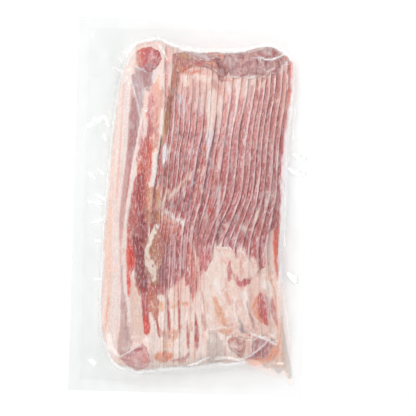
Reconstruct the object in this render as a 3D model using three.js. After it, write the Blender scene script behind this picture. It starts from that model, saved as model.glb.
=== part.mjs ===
// A vacuum pack of sliced pork belly, lying flat: one closed solid.
//
// Millimetres, +Z up. X runs across the slices, Y along them, and the origin is the middle of the
// flat underside. The long slices are shingled: the left one lies on top with its whole face bare,
// and each next one shows only a strip that climbs to its own cut edge and drops to its neighbour.
// The film hugs the meat, comes down round it in pleats and ends in a flat heat-sealed edge.

import * as THREE from 'three';

// The bag
const BAG_WIDTH = 200;
const BAG_LENGTH = 320;
const SEAL_WIDTH = 9;
const SEAL_THICKNESS = 0.8;
const MARGIN_THICKNESS = 1.2;

// The film coming down round the meat
const DRAPE_WIDTH = 9;
const DRAPE_SHARE_OF_MARGIN = 0.8;
const PLEAT_DEPTH = 3;
const PLEATS_PER_SIDE = 7;
const DRAPE_MIDDLE = 0.4;
const DRAPE_MIDDLE_RISE = 0.42;

// The meat
const MEAT_HALF_LENGTH = 136;
const PACK_HEIGHT = 25;
const SLICE_COUNT = 21;
const SLAB_WIDTH = 41;
const CREVICE = { width: 1.8, depth: 2.6, y: 18, halfLength: 62 };
const LEAN_STEP = 2.0;
const FAT_STEP = 0.8;
const RIDGE_SHARE = 0.72;
const SLICE_BEND = 11.5;
const END_ROUNDING = 17;
const END_HEIGHT_SHARE = 0.3;
const END_FITTING = 0.8;

// What is folded over the shingled slices
const CAP = { left: 20, right: 79, bottom: 110, rise: 2.2 };
const FLAP = { x: -20, y: -45, halfWidth: 20, halfLength: 38, rise: 1.6 };
const CORNER_FOLD = { x: 65, y: -121, halfWidth: 12, halfLength: 10, rise: 2.0 };
const ROUND_END = { x: -39, y: 127, halfWidth: 11, halfLength: 10, rise: 3.5 };

const PACK_COLOUR = 0xd9a8a0;

const { clamp, lerp, smoothstep } = THREE.MathUtils;

// A height or an edge that passes smoothly through a few given places.
function profile(...places) {
  const curve = new THREE.SplineCurve(places.map(([at, value]) => new THREE.Vector2(at, value)));
  const first = places[0][0];
  const last = places[places.length - 1][0];
  const samples = curve.getPoints(12 * places.length);
  return (at) => {
    const wanted = clamp(at, first, last);
    const next = Math.max(1, samples.findIndex((point) => point.x >= wanted));
    const [a, b] = [samples[next - 1], samples[next]];
    return lerp(a.y, b.y, (wanted - a.x) / (b.x - a.x));
  };
}

// The meat's outline seen from above
const leftEdge = profile([-136, -62], [-112, -71], [-60, -73], [0, -71.5], [60, -67], [105, -62], [136, -54]);
const rightEdge = profile([-136, 85], [-112, 81], [-80, 79], [0, 79], [60, 81.5], [105, 85], [136, 80]);
const bottomEdge = profile([-75, -132], [-43, -140], [0, -137], [35, -133], [65, -131], [88, -137]);
const topEdge = profile([-62, 128], [-45, 139], [-30, 141], [-10, 134], [35, 132], [65, 138], [86, 126]);

// Height of the meat across its middle: the top slice climbs to the pile, the last one lies on the table.
const acrossHeight = profile([-73, 4], [-50, 14.5], [-33, 21.5], [-10, 24], [35, 22.5], [60, 17], [76, 10], [86, 5]);

// Slices lean: their lower halves swing left, most in the middle of the pack.
function sliceShift(atTop, y) {
  const share = clamp((atTop + 62) / 62, 0, 1) * clamp((92 - atTop) / 30, 0.2, 1);
  return -SLICE_BEND * share * (1 - smoothstep(y, -20, 64));
}

// 1 in the middle of an oval, falling smoothly to 0 at its rim.
function mound(x, y, oval) {
  const reach = Math.hypot((x - oval.x) / oval.halfWidth, (y - oval.y) / oval.halfLength);
  return 1 - smoothstep(reach, 0.55, 1);
}

// The gap between the top slice and the rest opens in the middle and closes towards both ends.
function creviceDepth(y) {
  const fromMiddle = Math.abs(y - CREVICE.y);
  return CREVICE.depth * (1 - smoothstep(fromMiddle, CREVICE.halfLength / 2, CREVICE.halfLength));
}

// The folded cap covers the slices' upper ends; the flat fat covers the lower right.
function isUnderCap(x, y) {
  return x > CAP.left && x < CAP.right && y > CAP.bottom;
}

function stepHeight(x, y) {
  const fatBelow = smoothstep(x, 2, 22) * (1 - smoothstep(y, -44, -30));
  const ends = smoothstep(Math.abs(y), 112, 124);
  return lerp(lerp(LEAN_STEP, FAT_STEP, fatBelow), 0, ends);
}

// Top surface of the meat. lift runs from -0.5 in a groove to 0.5 on a slice's cut edge.
function meatHeight(x, y, lift) {
  const fromEnd = Math.min(topEdge(x) - y, y - bottomEdge(x));
  const inward = clamp(fromEnd / END_ROUNDING, 0, 1);
  const endShare = lerp(END_HEIGHT_SHARE, 1, Math.sqrt(1 - (1 - inward) ** 2));
  let z = MARGIN_THICKNESS + (acrossHeight(x) - MARGIN_THICKNESS) * endShare;
  z += isUnderCap(x, y) ? CAP.rise * endShare : lift * stepHeight(x, y);
  for (const fold of [FLAP, CORNER_FOLD, ROUND_END]) {
    z += fold.rise * mound(x, y, fold) * endShare;
  }
  return Math.min(z, PACK_HEIGHT);
}

// Distance from the meat at which the film reaches the flat margin.
function drapeWidth(along) {
  return DRAPE_WIDTH + PLEAT_DEPTH * Math.sin(along * PLEATS_PER_SIDE * 2 * Math.PI);
}

// Even stations from one value to another, both included.
function stations(from, to, count) {
  return Array.from({ length: count }, (_, i) => lerp(from, to, i / (count - 1)));
}

// Columns across the pack. Each gives its x in a row at height y, and how it meets the relief.
function meatColumns() {
  const columns = [0, 0.1, 0.28, 0.52, 0.78, 1].map((share) => ({
    x: (y) => leftEdge(y) + share * SLAB_WIDTH,
    lift: 0,
  }));
  const slabRight = (y) => leftEdge(y) + SLAB_WIDTH;
  for (let slice = 0; slice < SLICE_COUNT; slice += 1) {
    for (const [share, lift] of [[0, -0.5], [RIDGE_SHARE, 0.5]]) {
      const across = (slice + share) / SLICE_COUNT;
      columns.push({
        x: (y) => {
          const start = slabRight(y) + CREVICE.width;
          const evenly = lerp(start, rightEdge(y), across);
          return evenly + sliceShift(evenly, y) * Math.sin(Math.PI * across) ** 0.5;
        },
        lift,
        isCrevice: slice === 0 && share === 0,
      });
    }
  }
  columns.push({ x: rightEdge, lift: 0 });
  return columns;
}

// Rows up the pack, closer together at the rounded ends and at the cap's edge.
function meatRows() {
  return [
    ...stations(-MEAT_HALF_LENGTH, -117, 4),
    ...stations(-108, 102, 24),
    CAP.bottom - 1,
    CAP.bottom + 1,
    ...stations(118, MEAT_HALF_LENGTH, 4),
  ];
}

// The grid of points over the whole top: meat, draped film, flat margin and seal.
function topGrid() {
  const columns = meatColumns();
  const rows = meatRows();
  const meat = rows.map((rowY) => {
    const along = rowY / MEAT_HALF_LENGTH;
    return columns.map((column) => {
      const x = column.x(rowY);
      const edge = along < 0 ? -bottomEdge(x) : topEdge(x);
      const nearEnd = smoothstep(Math.abs(along), END_FITTING, 1);
      const y = rowY * lerp(1, edge / MEAT_HALF_LENGTH, nearEnd);
      const z = meatHeight(x, y, column.lift) - (column.isCrevice ? creviceDepth(y) : 0);
      return new THREE.Vector3(x, y, z);
    });
  });
  // Film from a point on the meat's edge out to the bag's edge, along one axis: 0 is X, 1 is Y.
  const outward = (edge, axis, sign, halfBag, along) => {
    const start = edge.getComponent(axis);
    const flat = sign * (halfBag - SEAL_WIDTH);
    const reach = Math.min(drapeWidth(along), Math.abs(flat - start) * DRAPE_SHARE_OF_MARGIN);
    const place = (at, z) => edge.clone().setComponent(axis, at).setZ(Math.min(z, edge.z));
    return [
      place(start + sign * reach * DRAPE_MIDDLE, lerp(MARGIN_THICKNESS, edge.z, DRAPE_MIDDLE_RISE)),
      place(start + sign * reach, MARGIN_THICKNESS),
      place(flat, SEAL_THICKNESS),
      place(sign * halfBag, SEAL_THICKNESS),
    ];
  };
  const wide = meat.map((row, i) => {
    const along = rows[i] / (2 * MEAT_HALF_LENGTH);
    const left = outward(row[0], 0, -1, BAG_WIDTH / 2, along).reverse();
    const right = outward(row[row.length - 1], 0, 1, BAG_WIDTH / 2, along + 0.5 / PLEATS_PER_SIDE);
    return [...left, ...row, ...right];
  });
  const [lowest, highest] = [wide[0], wide[wide.length - 1]];
  const below = lowest.map((point) => outward(point, 1, -1, BAG_LENGTH / 2, point.x / BAG_WIDTH));
  const above = highest.map((point) => outward(point, 1, 1, BAG_LENGTH / 2, point.x / BAG_WIDTH));
  return [
    ...[3, 2, 1, 0].map((step) => below.map((points) => points[step])),
    ...wide,
    ...[0, 1, 2, 3].map((step) => above.map((points) => points[step])),
  ];
}

// One closed body: the top grid, a wall down its edge, and a flat underside.
function packGeometry() {
  const grid = topGrid();
  const rowCount = grid.length;
  const columnCount = grid[0].length;
  const corners = grid.flat();
  const indices = [];
  const at = (row, column) => row * columnCount + column;
  for (let row = 0; row < rowCount - 1; row += 1) {
    for (let column = 0; column < columnCount - 1; column += 1) {
      const [a, b] = [at(row, column), at(row, column + 1)];
      const [c, d] = [at(row + 1, column + 1), at(row + 1, column)];
      indices.push(a, b, c, a, c, d);
    }
  }
  const rim = [];
  for (let column = 0; column < columnCount; column += 1) rim.push(at(0, column));
  for (let row = 1; row < rowCount; row += 1) rim.push(at(row, columnCount - 1));
  for (let column = columnCount - 2; column >= 0; column -= 1) rim.push(at(rowCount - 1, column));
  for (let row = rowCount - 2; row > 0; row -= 1) rim.push(at(row, 0));
  const firstFoot = corners.length;
  for (const index of rim) corners.push(corners[index].clone().setZ(0));
  const middle = corners.length;
  corners.push(new THREE.Vector3(0, 0, 0));
  rim.forEach((index, i) => {
    const next = (i + 1) % rim.length;
    const [foot, nextFoot] = [firstFoot + i, firstFoot + next];
    indices.push(index, foot, nextFoot, index, nextFoot, rim[next]);
    indices.push(middle, nextFoot, foot);
  });
  const geometry = new THREE.BufferGeometry().setFromPoints(corners);
  geometry.setIndex(indices);
  geometry.computeVertexNormals();
  return geometry;
}

const pack = new THREE.Group();

const sealedPack = new THREE.Mesh(
  packGeometry(),
  new THREE.MeshStandardMaterial({ color: PACK_COLOUR, roughness: 0.3, metalness: 0 }),
);
sealedPack.name = 'sealed_pack';
pack.add(sealedPack);

export default pack;
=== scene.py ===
"""A clear vacuum pack of sliced raw pork belly, lying flat and seen from straight above.

Places and sizes are in millimetres in the pack's own frame: X across the slices, Y along them, Z up
from the table. Meshes are written in metres.
"""

import math

import bpy
import numpy as np
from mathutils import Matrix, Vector
from mathutils.bvhtree import BVHTree


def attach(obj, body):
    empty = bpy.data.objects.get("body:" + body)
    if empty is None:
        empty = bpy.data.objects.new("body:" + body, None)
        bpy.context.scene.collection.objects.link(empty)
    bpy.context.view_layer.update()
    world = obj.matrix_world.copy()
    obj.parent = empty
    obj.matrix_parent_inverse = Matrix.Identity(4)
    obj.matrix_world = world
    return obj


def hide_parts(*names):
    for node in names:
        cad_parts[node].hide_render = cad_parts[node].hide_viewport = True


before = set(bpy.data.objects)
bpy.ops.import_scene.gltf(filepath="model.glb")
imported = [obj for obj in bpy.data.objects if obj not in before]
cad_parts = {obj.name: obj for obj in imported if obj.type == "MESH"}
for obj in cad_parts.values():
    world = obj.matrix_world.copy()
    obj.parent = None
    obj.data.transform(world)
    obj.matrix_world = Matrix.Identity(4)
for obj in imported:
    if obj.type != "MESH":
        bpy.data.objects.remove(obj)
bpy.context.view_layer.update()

MM = 0.001


# ---- Camera, table and light -------------------------------------------------------------------
# The pack is looked at from straight above, turned a little clockwise in the picture, on a plain
# white table under a bright soft studio light that comes mostly from the upper left.

CAMERA_AT = (15.6, -0.8, 1500.0)
VIEW_WIDTH = 357.0
CAMERA_TURN = math.radians(1.6)
SENSOR = 36.0
TABLE_SIZE = 2400.0


def add_object(name, data):
    """A new object, linked to the scene."""
    thing = bpy.data.objects.new(name, data)
    bpy.context.scene.collection.objects.link(thing)
    return thing


camera_data = bpy.data.cameras.new("camera")
camera_data.sensor_width = SENSOR
camera_data.lens = SENSOR * CAMERA_AT[2] / VIEW_WIDTH
camera = add_object("camera", camera_data)
camera.location = Vector(CAMERA_AT) * MM
camera.rotation_euler = (0, 0, CAMERA_TURN)
bpy.context.scene.camera = camera
bpy.context.scene.view_settings.view_transform = "Standard"


def colour(code):
    """A colour as seen in the picture, such as '#B98084', as linear light."""
    seen = np.array([int(code[i:i + 2], 16) / 255 for i in (1, 3, 5)])
    return np.where(seen <= 0.04045, seen / 12.92, ((seen + 0.055) / 1.055) ** 2.4)


def add_node(tree, kind, inputs=None, **settings):
    """A shader or geometry node with its settings and inputs; a linked input is given as a socket."""
    node = tree.nodes.new(kind)
    for name, value in settings.items():
        setattr(node, name, value)
    for name, value in (inputs or {}).items():
        if isinstance(value, bpy.types.NodeSocket):
            tree.links.new(value, node.inputs[name])
        else:
            node.inputs[name].default_value = value
    return node


def new_material(name):
    """A new material with its empty node tree and its output node."""
    material = bpy.data.materials.new(name)
    material.use_nodes = True
    tree = material.node_tree
    tree.nodes.clear()
    return material, tree, tree.nodes.new("ShaderNodeOutputMaterial")


def add_light(name, place, size, power):
    """A square soft light at a place in millimetres, aimed at the pack."""
    data = bpy.data.lights.new(name, "AREA")
    data.size = size * MM
    data.energy = power
    lamp = add_object(name, data)
    lamp.location = Vector(place) * MM
    lamp.rotation_euler = (-Vector(place)).to_track_quat("-Z", "Y").to_euler()


table_mesh = bpy.data.meshes.new("table")
half = TABLE_SIZE / 2 * MM
table_mesh.from_pydata(
    [(-half, -half, 0), (half, -half, 0), (half, half, 0), (-half, half, 0)], [], [(0, 1, 2, 3)]
)
table = add_object("table", table_mesh)
table_finish, tree, output = new_material("white_table")
grain = add_node(tree, "ShaderNodeTexNoise", {"Scale": 40.0})
shade = add_node(tree, "ShaderNodeMapRange", {"Value": grain.outputs["Fac"], "To Min": 0.93, "To Max": 0.95})
surface = add_node(
    tree, "ShaderNodeBsdfPrincipled", {"Base Color": shade.outputs["Result"], "Roughness": 0.9}
)
tree.links.new(surface.outputs[0], output.inputs["Surface"])
table_mesh.materials.append(table_finish)

studio = bpy.data.worlds.new("studio")
studio.use_nodes = True
studio.node_tree.nodes["Background"].inputs["Color"].default_value = (1, 1, 1, 1)
studio.node_tree.nodes["Background"].inputs["Strength"].default_value = 0.6
bpy.context.scene.world = studio
add_light("overhead", (-140, 240, 1300), 1800, 11.8)
add_light("left_glint", (-650, 350, 900), 160, 1.2)
add_light("right_glint", (750, 250, 900), 160, 0.8)


# ---- The pile of slices ------------------------------------------------------------------------
# Raw belly cut lengthways into slices 2.5 mm thick, fanned so that each lies on the next one to its
# right. The vacuum presses the fan flat: the slices lean on each other, their right cut edges make
# the ridges on top, and their left edges all reach the table.

SLICE_WIDTH = 42.0
SLICE_THICKNESS = 2.5
SLICE_GAP = 0.1
LEAST_THICKNESS = 0.15
SLICE_PITCH = 6.0
SLICE_COLUMNS = 18
SHOWN_COLUMNS = 10
SHOWN_MARGIN = 1.1
SLICE_STATIONS = 200
FOOT_INSET = 4
END_JITTER = 2.5
CUT_EDGE_ANGLE = math.radians(50)
HALF_LENGTH = 136.0
FILM_FLOOR = 0.5
LEAN_STEP = 2.4
FAT_STEP = 0.1
END_ROUNDING = 17.0
END_HEIGHT_SHARE = 0.3
END_FITTING = 0.8
CUT_EDGES = (
    -19.5, -15.5, -11.0, -7.0, -2.5, 3.0, 8.7, 13.5, 18.4, 23.5, 28.5,
    34.3, 40.0, 46.8, 51.4, 56.0, 60.6, 65.2, 70.4, 74.8, 80.2,
)
CENTRE_SLICES = 11
MERGED_BELOW = (1, 2, 3, 5, 8)


def smooth(low, high, value):
    """0 below low, 1 above high, and an even S between them."""
    t = np.clip((value - low) / (high - low), 0, 1)
    return t * t * (3 - 2 * t)


def blend(a, b, share):
    """From a to b as the share goes from 0 to 1."""
    return a + (b - a) * share


def tint(tints, tone, share):
    """Blends a tone into the colours, at each point by that point's own share."""
    return blend(tints, tone, share[:, None])


def through(*places):
    """A smooth line through a few chosen places, level beyond its ends."""
    at, value = np.array(places, float).T
    slope = np.gradient(value, at)

    def read(x):
        x = np.clip(x, at[0], at[-1])
        i = np.clip(np.searchsorted(at, x) - 1, 0, len(at) - 2)
        step = at[i + 1] - at[i]
        t = (x - at[i]) / step
        start = (2 * t**3 - 3 * t**2 + 1) * value[i] + (t**3 - 2 * t**2 + t) * step * slope[i]
        return start + (3 * t**2 - 2 * t**3) * value[i + 1] + (t**3 - t**2) * step * slope[i + 1]

    return read


def mottle(x, y, seed):
    """Smooth noise from -1 to 1 in patches one unit across."""
    x, y = np.broadcast_arrays(np.asarray(x, float), np.asarray(y, float))
    column, row = np.floor(x), np.floor(y)
    u, v = x - column, y - row
    u, v = u * u * (3 - 2 * u), v * v * (3 - 2 * v)

    def knot(i, j):
        spread = np.sin((column + i) * 127.1 + (row + j) * 311.7 + seed * 74.7) * 43758.5453
        return 2 * (spread - np.floor(spread)) - 1

    return blend(blend(knot(0, 0), knot(1, 0), u), blend(knot(0, 1), knot(1, 1), u), v)


left_edge = through((-136, -62), (-112, -71), (-60, -73), (0, -71.5), (60, -67), (105, -62), (136, -54))
bottom_edge = through((-75, -132), (-43, -140), (0, -137), (35, -133), (65, -131), (88, -137))
top_edge = through((-62, 128), (-45, 139), (-30, 141), (-10, 134), (35, 132), (65, 138), (86, 126))
across_height = through(
    (-73, 4), (-50, 14.5), (-33, 21.5), (-10, 24), (35, 22.5), (60, 17), (76, 10), (86, 5)
)
top_slice_edge = through(
    (-136, -28), (-100, -33), (-60, -33), (0, -31), (16, -30), (28, -28), (40, -27), (49, -25.5), (136, -24)
)
swing_share = through((-21, 0.45), (-10, 0.8), (2, 1), (56, 1), (65, 0.82), (70, 0.68), (75, 0.5), (81, 0.2))
centre_swing = through(
    (-45, -13.5), (-30, -13), (-18, -11.8), (-9, -10.3), (-3, -9.3), (5, -7.5), (15, -6.1), (28, -4.7),
    (40, -3.3), (50, -1.8), (60, 0), (85, 1.5), (110, 2.5),
)
right_swing = through(
    (-110, -12), (-45, -16.5), (-30, -16), (-22, -13.7), (-13, -10.7), (-9, -9.2), (-3, -7.2), (3, -5.2),
    (10, -3.4), (20, -2.2), (30, -1.4), (45, -0.7), (60, 0), (75, 1.8), (85, 3.3), (100, 5.1), (112, 6),
)


def cut_edge(number, y):
    """Where a slice's right cut edge shows. The fan swings to the left lower down the pack."""
    if number < 0:
        return top_slice_edge(y)
    at = CUT_EDGES[number]
    swing = blend(centre_swing(y), right_swing(y), smooth(18, 38, at)) * swing_share(at)
    wobble = 0.45 * mottle(y / 16, number * 3.7, 5) + 0.2 * mottle(y / 5, number * 1.9, 6)
    flare = 3 * smooth(55, 110, y) + 2 * smooth(-30, -60, y) + 2 * smooth(-90, -125, y)
    return at + swing + wobble + flare * smooth(60, 80, at)


def end_share(x, y):
    """How much of the pile's full height is left near its two rounded ends."""
    inward = np.clip(np.minimum(top_edge(x) - y, y - bottom_edge(x)) / END_ROUNDING, 0, 1)
    return END_HEIGHT_SHARE + (1 - END_HEIGHT_SHARE) * np.sqrt(1 - (1 - inward) ** 2)


def fat_zone(x, y):
    """1 where the slices show their broad flat fat, at the lower right."""
    return smooth(4, 22, x) * (1 - smooth(-46, -30, y))


def slice_top(number, inward, y):
    """Height of a slice's upper face at a distance inward from its right cut edge."""
    edge = cut_edge(number, y)
    strip = np.maximum(edge - cut_edge(number - 1, y), 1.0)
    ridge = across_height(edge)
    step = blend(LEAN_STEP, FAT_STEP, fat_zone(edge, y)) * (0.85 + 0.3 * mottle(y / 30, number * 2.3, 7))
    if number in MERGED_BELOW:
        step = step * blend(0.2, 1, smooth(-84, -60, y))
    step = np.maximum(step, ridge - across_height(cut_edge(number - 1, y)) + 0.25)
    tilt = (ridge - step - SLICE_THICKNESS) / (SLICE_WIDTH - strip)
    shown = np.clip(inward / strip, 0, 1)
    height = ridge - step * shown - tilt * np.maximum(inward - strip, 0)
    corner = 0.6 * np.clip(1 - inward / 1.1, 0, 1) ** 2 * blend(1, 0.15, fat_zone(edge, y))
    return FILM_FLOOR + (height - corner) * end_share(edge - inward, y)


def slice_bottom(number, inward, y, top):
    """Underside of a slice: its thickness down, or where it lies on the slice beneath."""
    bottom = top - SLICE_THICKNESS
    if number + 1 < len(CUT_EDGES):
        along_next = inward + cut_edge(number + 1, y) - cut_edge(number, y)
        bottom = np.maximum(bottom, slice_top(number + 1, along_next, y) + SLICE_GAP)
    return np.minimum(np.maximum(bottom, FILM_FLOOR), top - LEAST_THICKNESS)


def fit_to_ends(along, across, jitter=0.0):
    """Where a point of a straight slice lies along the pack, so that the ends follow the outline."""
    limit = np.where(along < 0, -bottom_edge(across), top_edge(across)) + jitter
    near_end = smooth(END_FITTING, 1, np.abs(along) / HALF_LENGTH)
    return along * blend(1, limit / HALF_LENGTH, near_end)


def geometry_tree(name, sockets):
    """A new geometry tree with these named inputs and one output, and the sockets that feed it."""
    tree = bpy.data.node_groups.new(name, "GeometryNodeTree")
    for label, kind in sockets.items():
        tree.interface.new_socket(label, in_out="INPUT", socket_type="NodeSocket" + kind)
    tree.interface.new_socket("Geometry", in_out="OUTPUT", socket_type="NodeSocketGeometry")
    return tree, tree.nodes.new("NodeGroupInput").outputs


def dress(tree, geometry, finish):
    """Ends a geometry tree: its instances turn into real mesh and take on their finish."""
    real = add_node(tree, "GeometryNodeRealizeInstances", {"Geometry": geometry})
    dressed = add_node(tree, "GeometryNodeSetMaterial", {"Geometry": real.outputs[0], "Material": finish})
    tree.links.new(dressed.outputs[0], tree.nodes.new("NodeGroupOutput").inputs["Geometry"])
    return tree


def fan_tree():
    """Straight slices side by side: each point knows its slice and its place across and along it."""
    tree, given = geometry_tree("slice_fan", {
        "Slices": "Int", "Columns": "Int", "Stations": "Int", "Pitch": "Float", "Width": "Float",
        "Length": "Float", "Thickness": "Float", "Finish": "Material",
    })
    pitch = add_node(tree, "ShaderNodeCombineXYZ", {"X": given["Pitch"]})
    row = add_node(tree, "GeometryNodeMeshLine", {"Count": given["Slices"], "Offset": pitch.outputs[0]})
    size = add_node(
        tree, "ShaderNodeCombineXYZ", {"X": given["Width"], "Y": given["Length"], "Z": given["Thickness"]}
    )
    slab = add_node(
        tree, "GeometryNodeMeshCube",
        {"Size": size.outputs[0], "Vertices X": given["Columns"], "Vertices Y": given["Stations"]},
    )
    place = add_node(tree, "GeometryNodeInputPosition")
    share = add_node(
        tree, "ShaderNodeVectorMath", {0: place.outputs[0], 1: size.outputs[0]}, operation="DIVIDE"
    )
    stored = add_node(
        tree, "GeometryNodeStoreNamedAttribute",
        {"Geometry": slab.outputs["Mesh"], "Name": "share", "Value": share.outputs[0]},
        data_type="FLOAT_VECTOR",
    )
    fan = add_node(
        tree, "GeometryNodeInstanceOnPoints",
        {"Points": row.outputs["Mesh"], "Instance": stored.outputs["Geometry"]},
    )
    number = add_node(tree, "GeometryNodeInputIndex")
    numbered = add_node(
        tree, "GeometryNodeStoreNamedAttribute",
        {"Geometry": fan.outputs["Instances"], "Name": "number", "Value": number.outputs[0]},
        data_type="FLOAT", domain="INSTANCE",
    )
    return dress(tree, numbered.outputs["Geometry"], given["Finish"])


def grow(piece, tree, **inputs):
    """Runs a geometry tree with these named inputs on a piece, which keeps the plain mesh it makes."""
    modifier = piece.modifiers.new(piece.name, "NODES")
    modifier.node_group = tree
    sockets = {s.name: s.identifier for s in tree.interface.items_tree if s.in_out == "INPUT"}
    for key, value in inputs.items():
        modifier[sockets[key]] = value
    evaluated = piece.evaluated_get(bpy.context.evaluated_depsgraph_get())
    mesh = bpy.data.meshes.new_from_object(evaluated)
    piece.modifiers.clear()
    piece.data = mesh
    mesh.name = piece.name
    return piece


def read_points(mesh, name, width):
    """A value or a vector that each point of a mesh carries, which the mesh then lets go of."""
    values = np.zeros(len(mesh.vertices) * width)
    mesh.attributes[name].data.foreach_get("value" if width == 1 else "vector", values)
    mesh.attributes.remove(mesh.attributes[name])
    return values if width == 1 else values.reshape(-1, width)


def set_points(mesh, x, y, z):
    """Moves the points of a mesh to these places in millimetres."""
    mesh.vertices.foreach_set("co", (np.stack([x, y, z], 1) * MM).astype(np.float32).ravel())
    mesh.update()


def set_tints(mesh, name, tints):
    """Stores a colour per point under a name that the finish of the piece reads."""
    layer = mesh.color_attributes.new(name, "FLOAT_COLOR", "POINT")
    full = np.concatenate([np.clip(tints, 0, 1), np.ones((len(tints), 1))], 1)
    layer.data.foreach_set("color", full.astype(np.float32).ravel())


def part_of_pack(piece):
    """Every piece of the pack lies on the table as one body and stands for the sealed pack."""
    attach(piece, "root")
    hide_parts("sealed_pack")


# The finish of raw meat: moist, faintly translucent, with fine fibres that run along the slices and
# a speckle of small fat grains. Each point has its own tissue colour, and only lean is flecked.
PALE_FLECK = (0.80, 0.56, 0.54, 1)
DEEP_FLECK = (0.33, 0.07, 0.075, 1)
raw_meat, tree, output = new_material("raw_meat")
tissue = add_node(tree, "ShaderNodeVertexColor", layer_name="tissue")
place = add_node(tree, "ShaderNodeTexCoord")
stretched = add_node(
    tree, "ShaderNodeMapping", {"Vector": place.outputs["Object"], "Scale": (1250, 260, 700)}
)
fibres = add_node(tree, "ShaderNodeTexNoise", {"Vector": stretched.outputs[0], "Scale": 1.0, "Detail": 4.0})
grains = add_node(
    tree, "ShaderNodeTexNoise", {"Vector": place.outputs["Object"], "Scale": 800.0, "Detail": 3.0}
)
relief = add_node(
    tree, "ShaderNodeMath", {0: fibres.outputs["Fac"], 1: grains.outputs["Fac"]}, operation="ADD"
)
tone = add_node(
    tree, "ShaderNodeMapRange",
    {"Value": relief.outputs[0], "From Min": 0.75, "From Max": 1.25, "To Min": 0.88, "To Max": 1.08},
)
parts = add_node(tree, "ShaderNodeSeparateColor", {"Color": tissue.outputs["Color"]})
paleness = add_node(
    tree, "ShaderNodeMath", {0: parts.outputs["Green"], 1: parts.outputs["Red"]}, operation="DIVIDE"
)
leanness = add_node(
    tree, "ShaderNodeMapRange", {"Value": paleness.outputs[0], "From Min": 0.62, "From Max": 0.4}
)
flecked = tissue.outputs["Color"]
for noise, low, high, fleck in ((fibres, 0.52, 0.7, PALE_FLECK), (grains, 0.47, 0.3, DEEP_FLECK)):
    spots = add_node(
        tree, "ShaderNodeMapRange",
        {"Value": noise.outputs["Fac"], "From Min": low, "From Max": high, "To Max": 0.6},
    )
    share = add_node(
        tree, "ShaderNodeMath", {0: spots.outputs[0], 1: leanness.outputs[0]}, operation="MULTIPLY"
    )
    mixed = add_node(tree, "ShaderNodeMix", {0: share.outputs[0], 6: flecked, 7: fleck}, data_type="RGBA")
    flecked = mixed.outputs[2]
tinted = add_node(
    tree, "ShaderNodeVectorMath", {0: flecked, 1: tone.outputs[0]}, operation="MULTIPLY"
)
wetness = add_node(
    tree, "ShaderNodeMapRange", {"Value": grains.outputs["Fac"], "To Min": 0.3, "To Max": 0.55}
)
bump = add_node(
    tree, "ShaderNodeBump", {"Height": relief.outputs[0], "Strength": 0.5, "Distance": 0.0003}
)
meat = add_node(
    tree, "ShaderNodeBsdfPrincipled",
    {
        "Base Color": tinted.outputs[0], "Roughness": wetness.outputs[0], "Normal": bump.outputs[0],
        "Subsurface Weight": 0.15, "Subsurface Radius": (0.004, 0.002, 0.0015), "Subsurface Scale": 1.0,
        "IOR": 1.4, "Specular IOR Level": 0.2,
    },
)
tree.links.new(meat.outputs[0], output.inputs["Surface"])

# The tones of the tissue: lean is mauve red and fat is cream to pink. The membrane tone is also a
# painted highlight on the slices' cut edges, and the groove tone is painted shade in their grooves.
LEAN = colour("#B4605F")
LEAN_PALE = colour("#DE9E97")
LEAN_RED = colour("#BC5652")
LEAN_DEEP = colour("#8A3A40")
LEAN_MAUVE = colour("#BC8488")
FAT_CREAM = colour("#ECD2C7")
FAT_WHITE = colour("#EBDBD4")
FAT_PINK = colour("#E5B8AD")
MEMBRANE_AND_HIGHLIGHT = colour("#E6CFCF")
GROOVE_SHADE = colour("#8A3E42")


def stroke(x, y, path, softness=0.8):
    """1 on a line that swells and narrows: its places are (x, y, half width). Its rim is soft."""
    inside = np.full(len(x), -1e3)
    if len(path) == 1:
        path = path * 2
    for (x0, y0, w0), (x1, y1, w1) in zip(path, path[1:]):
        run = np.array([x1 - x0, y1 - y0])
        length = max(float(run @ run), 1e-9)
        t = np.clip(((x - x0) * run[0] + (y - y0) * run[1]) / length, 0, 1)
        reach = np.hypot(x - x0 - t * run[0], y - y0 - t * run[1])
        inside = np.maximum(inside, blend(w0, w1, t) - reach)
    return smooth(-softness, softness, inside)


def brush(tints, x, y, marks):
    """Lays coloured strokes over the tissue. Each mark is a colour, a strength and one path or more."""
    for code, strength, *paths in marks:
        for path in paths:
            tints = tint(tints, colour(code), strength * stroke(x, y, path))
    return tints


lean_foot = through(
    (-30, -66), (-24, -74), (-18, -75), (-14, -71), (-9, -65), (-4, -60), (1, -66), (4, -78), (8, -70),
    (11, -56), (16, -54), (20, -44), (22, -32), (25, -34), (28, -32), (34, -31.5), (38, -35), (41, -40),
    (44, -36), (47, -35), (50, -41), (55, -44), (58, -47), (61, -52.5), (65, -53.5), (67, -30), (69, -22),
    (80, -24),
)
lean_head = through(
    (-20, 122), (-13, 92), (-6, 95), (0, 86), (8, 80), (12, 72), (15, 58), (18, 62), (22, 70), (26, 84),
    (30, 92), (35, 96), (40, 90), (46, 98), (52, 95), (56, 108), (64, 108), (74, 118), (86, 128),
)

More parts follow.
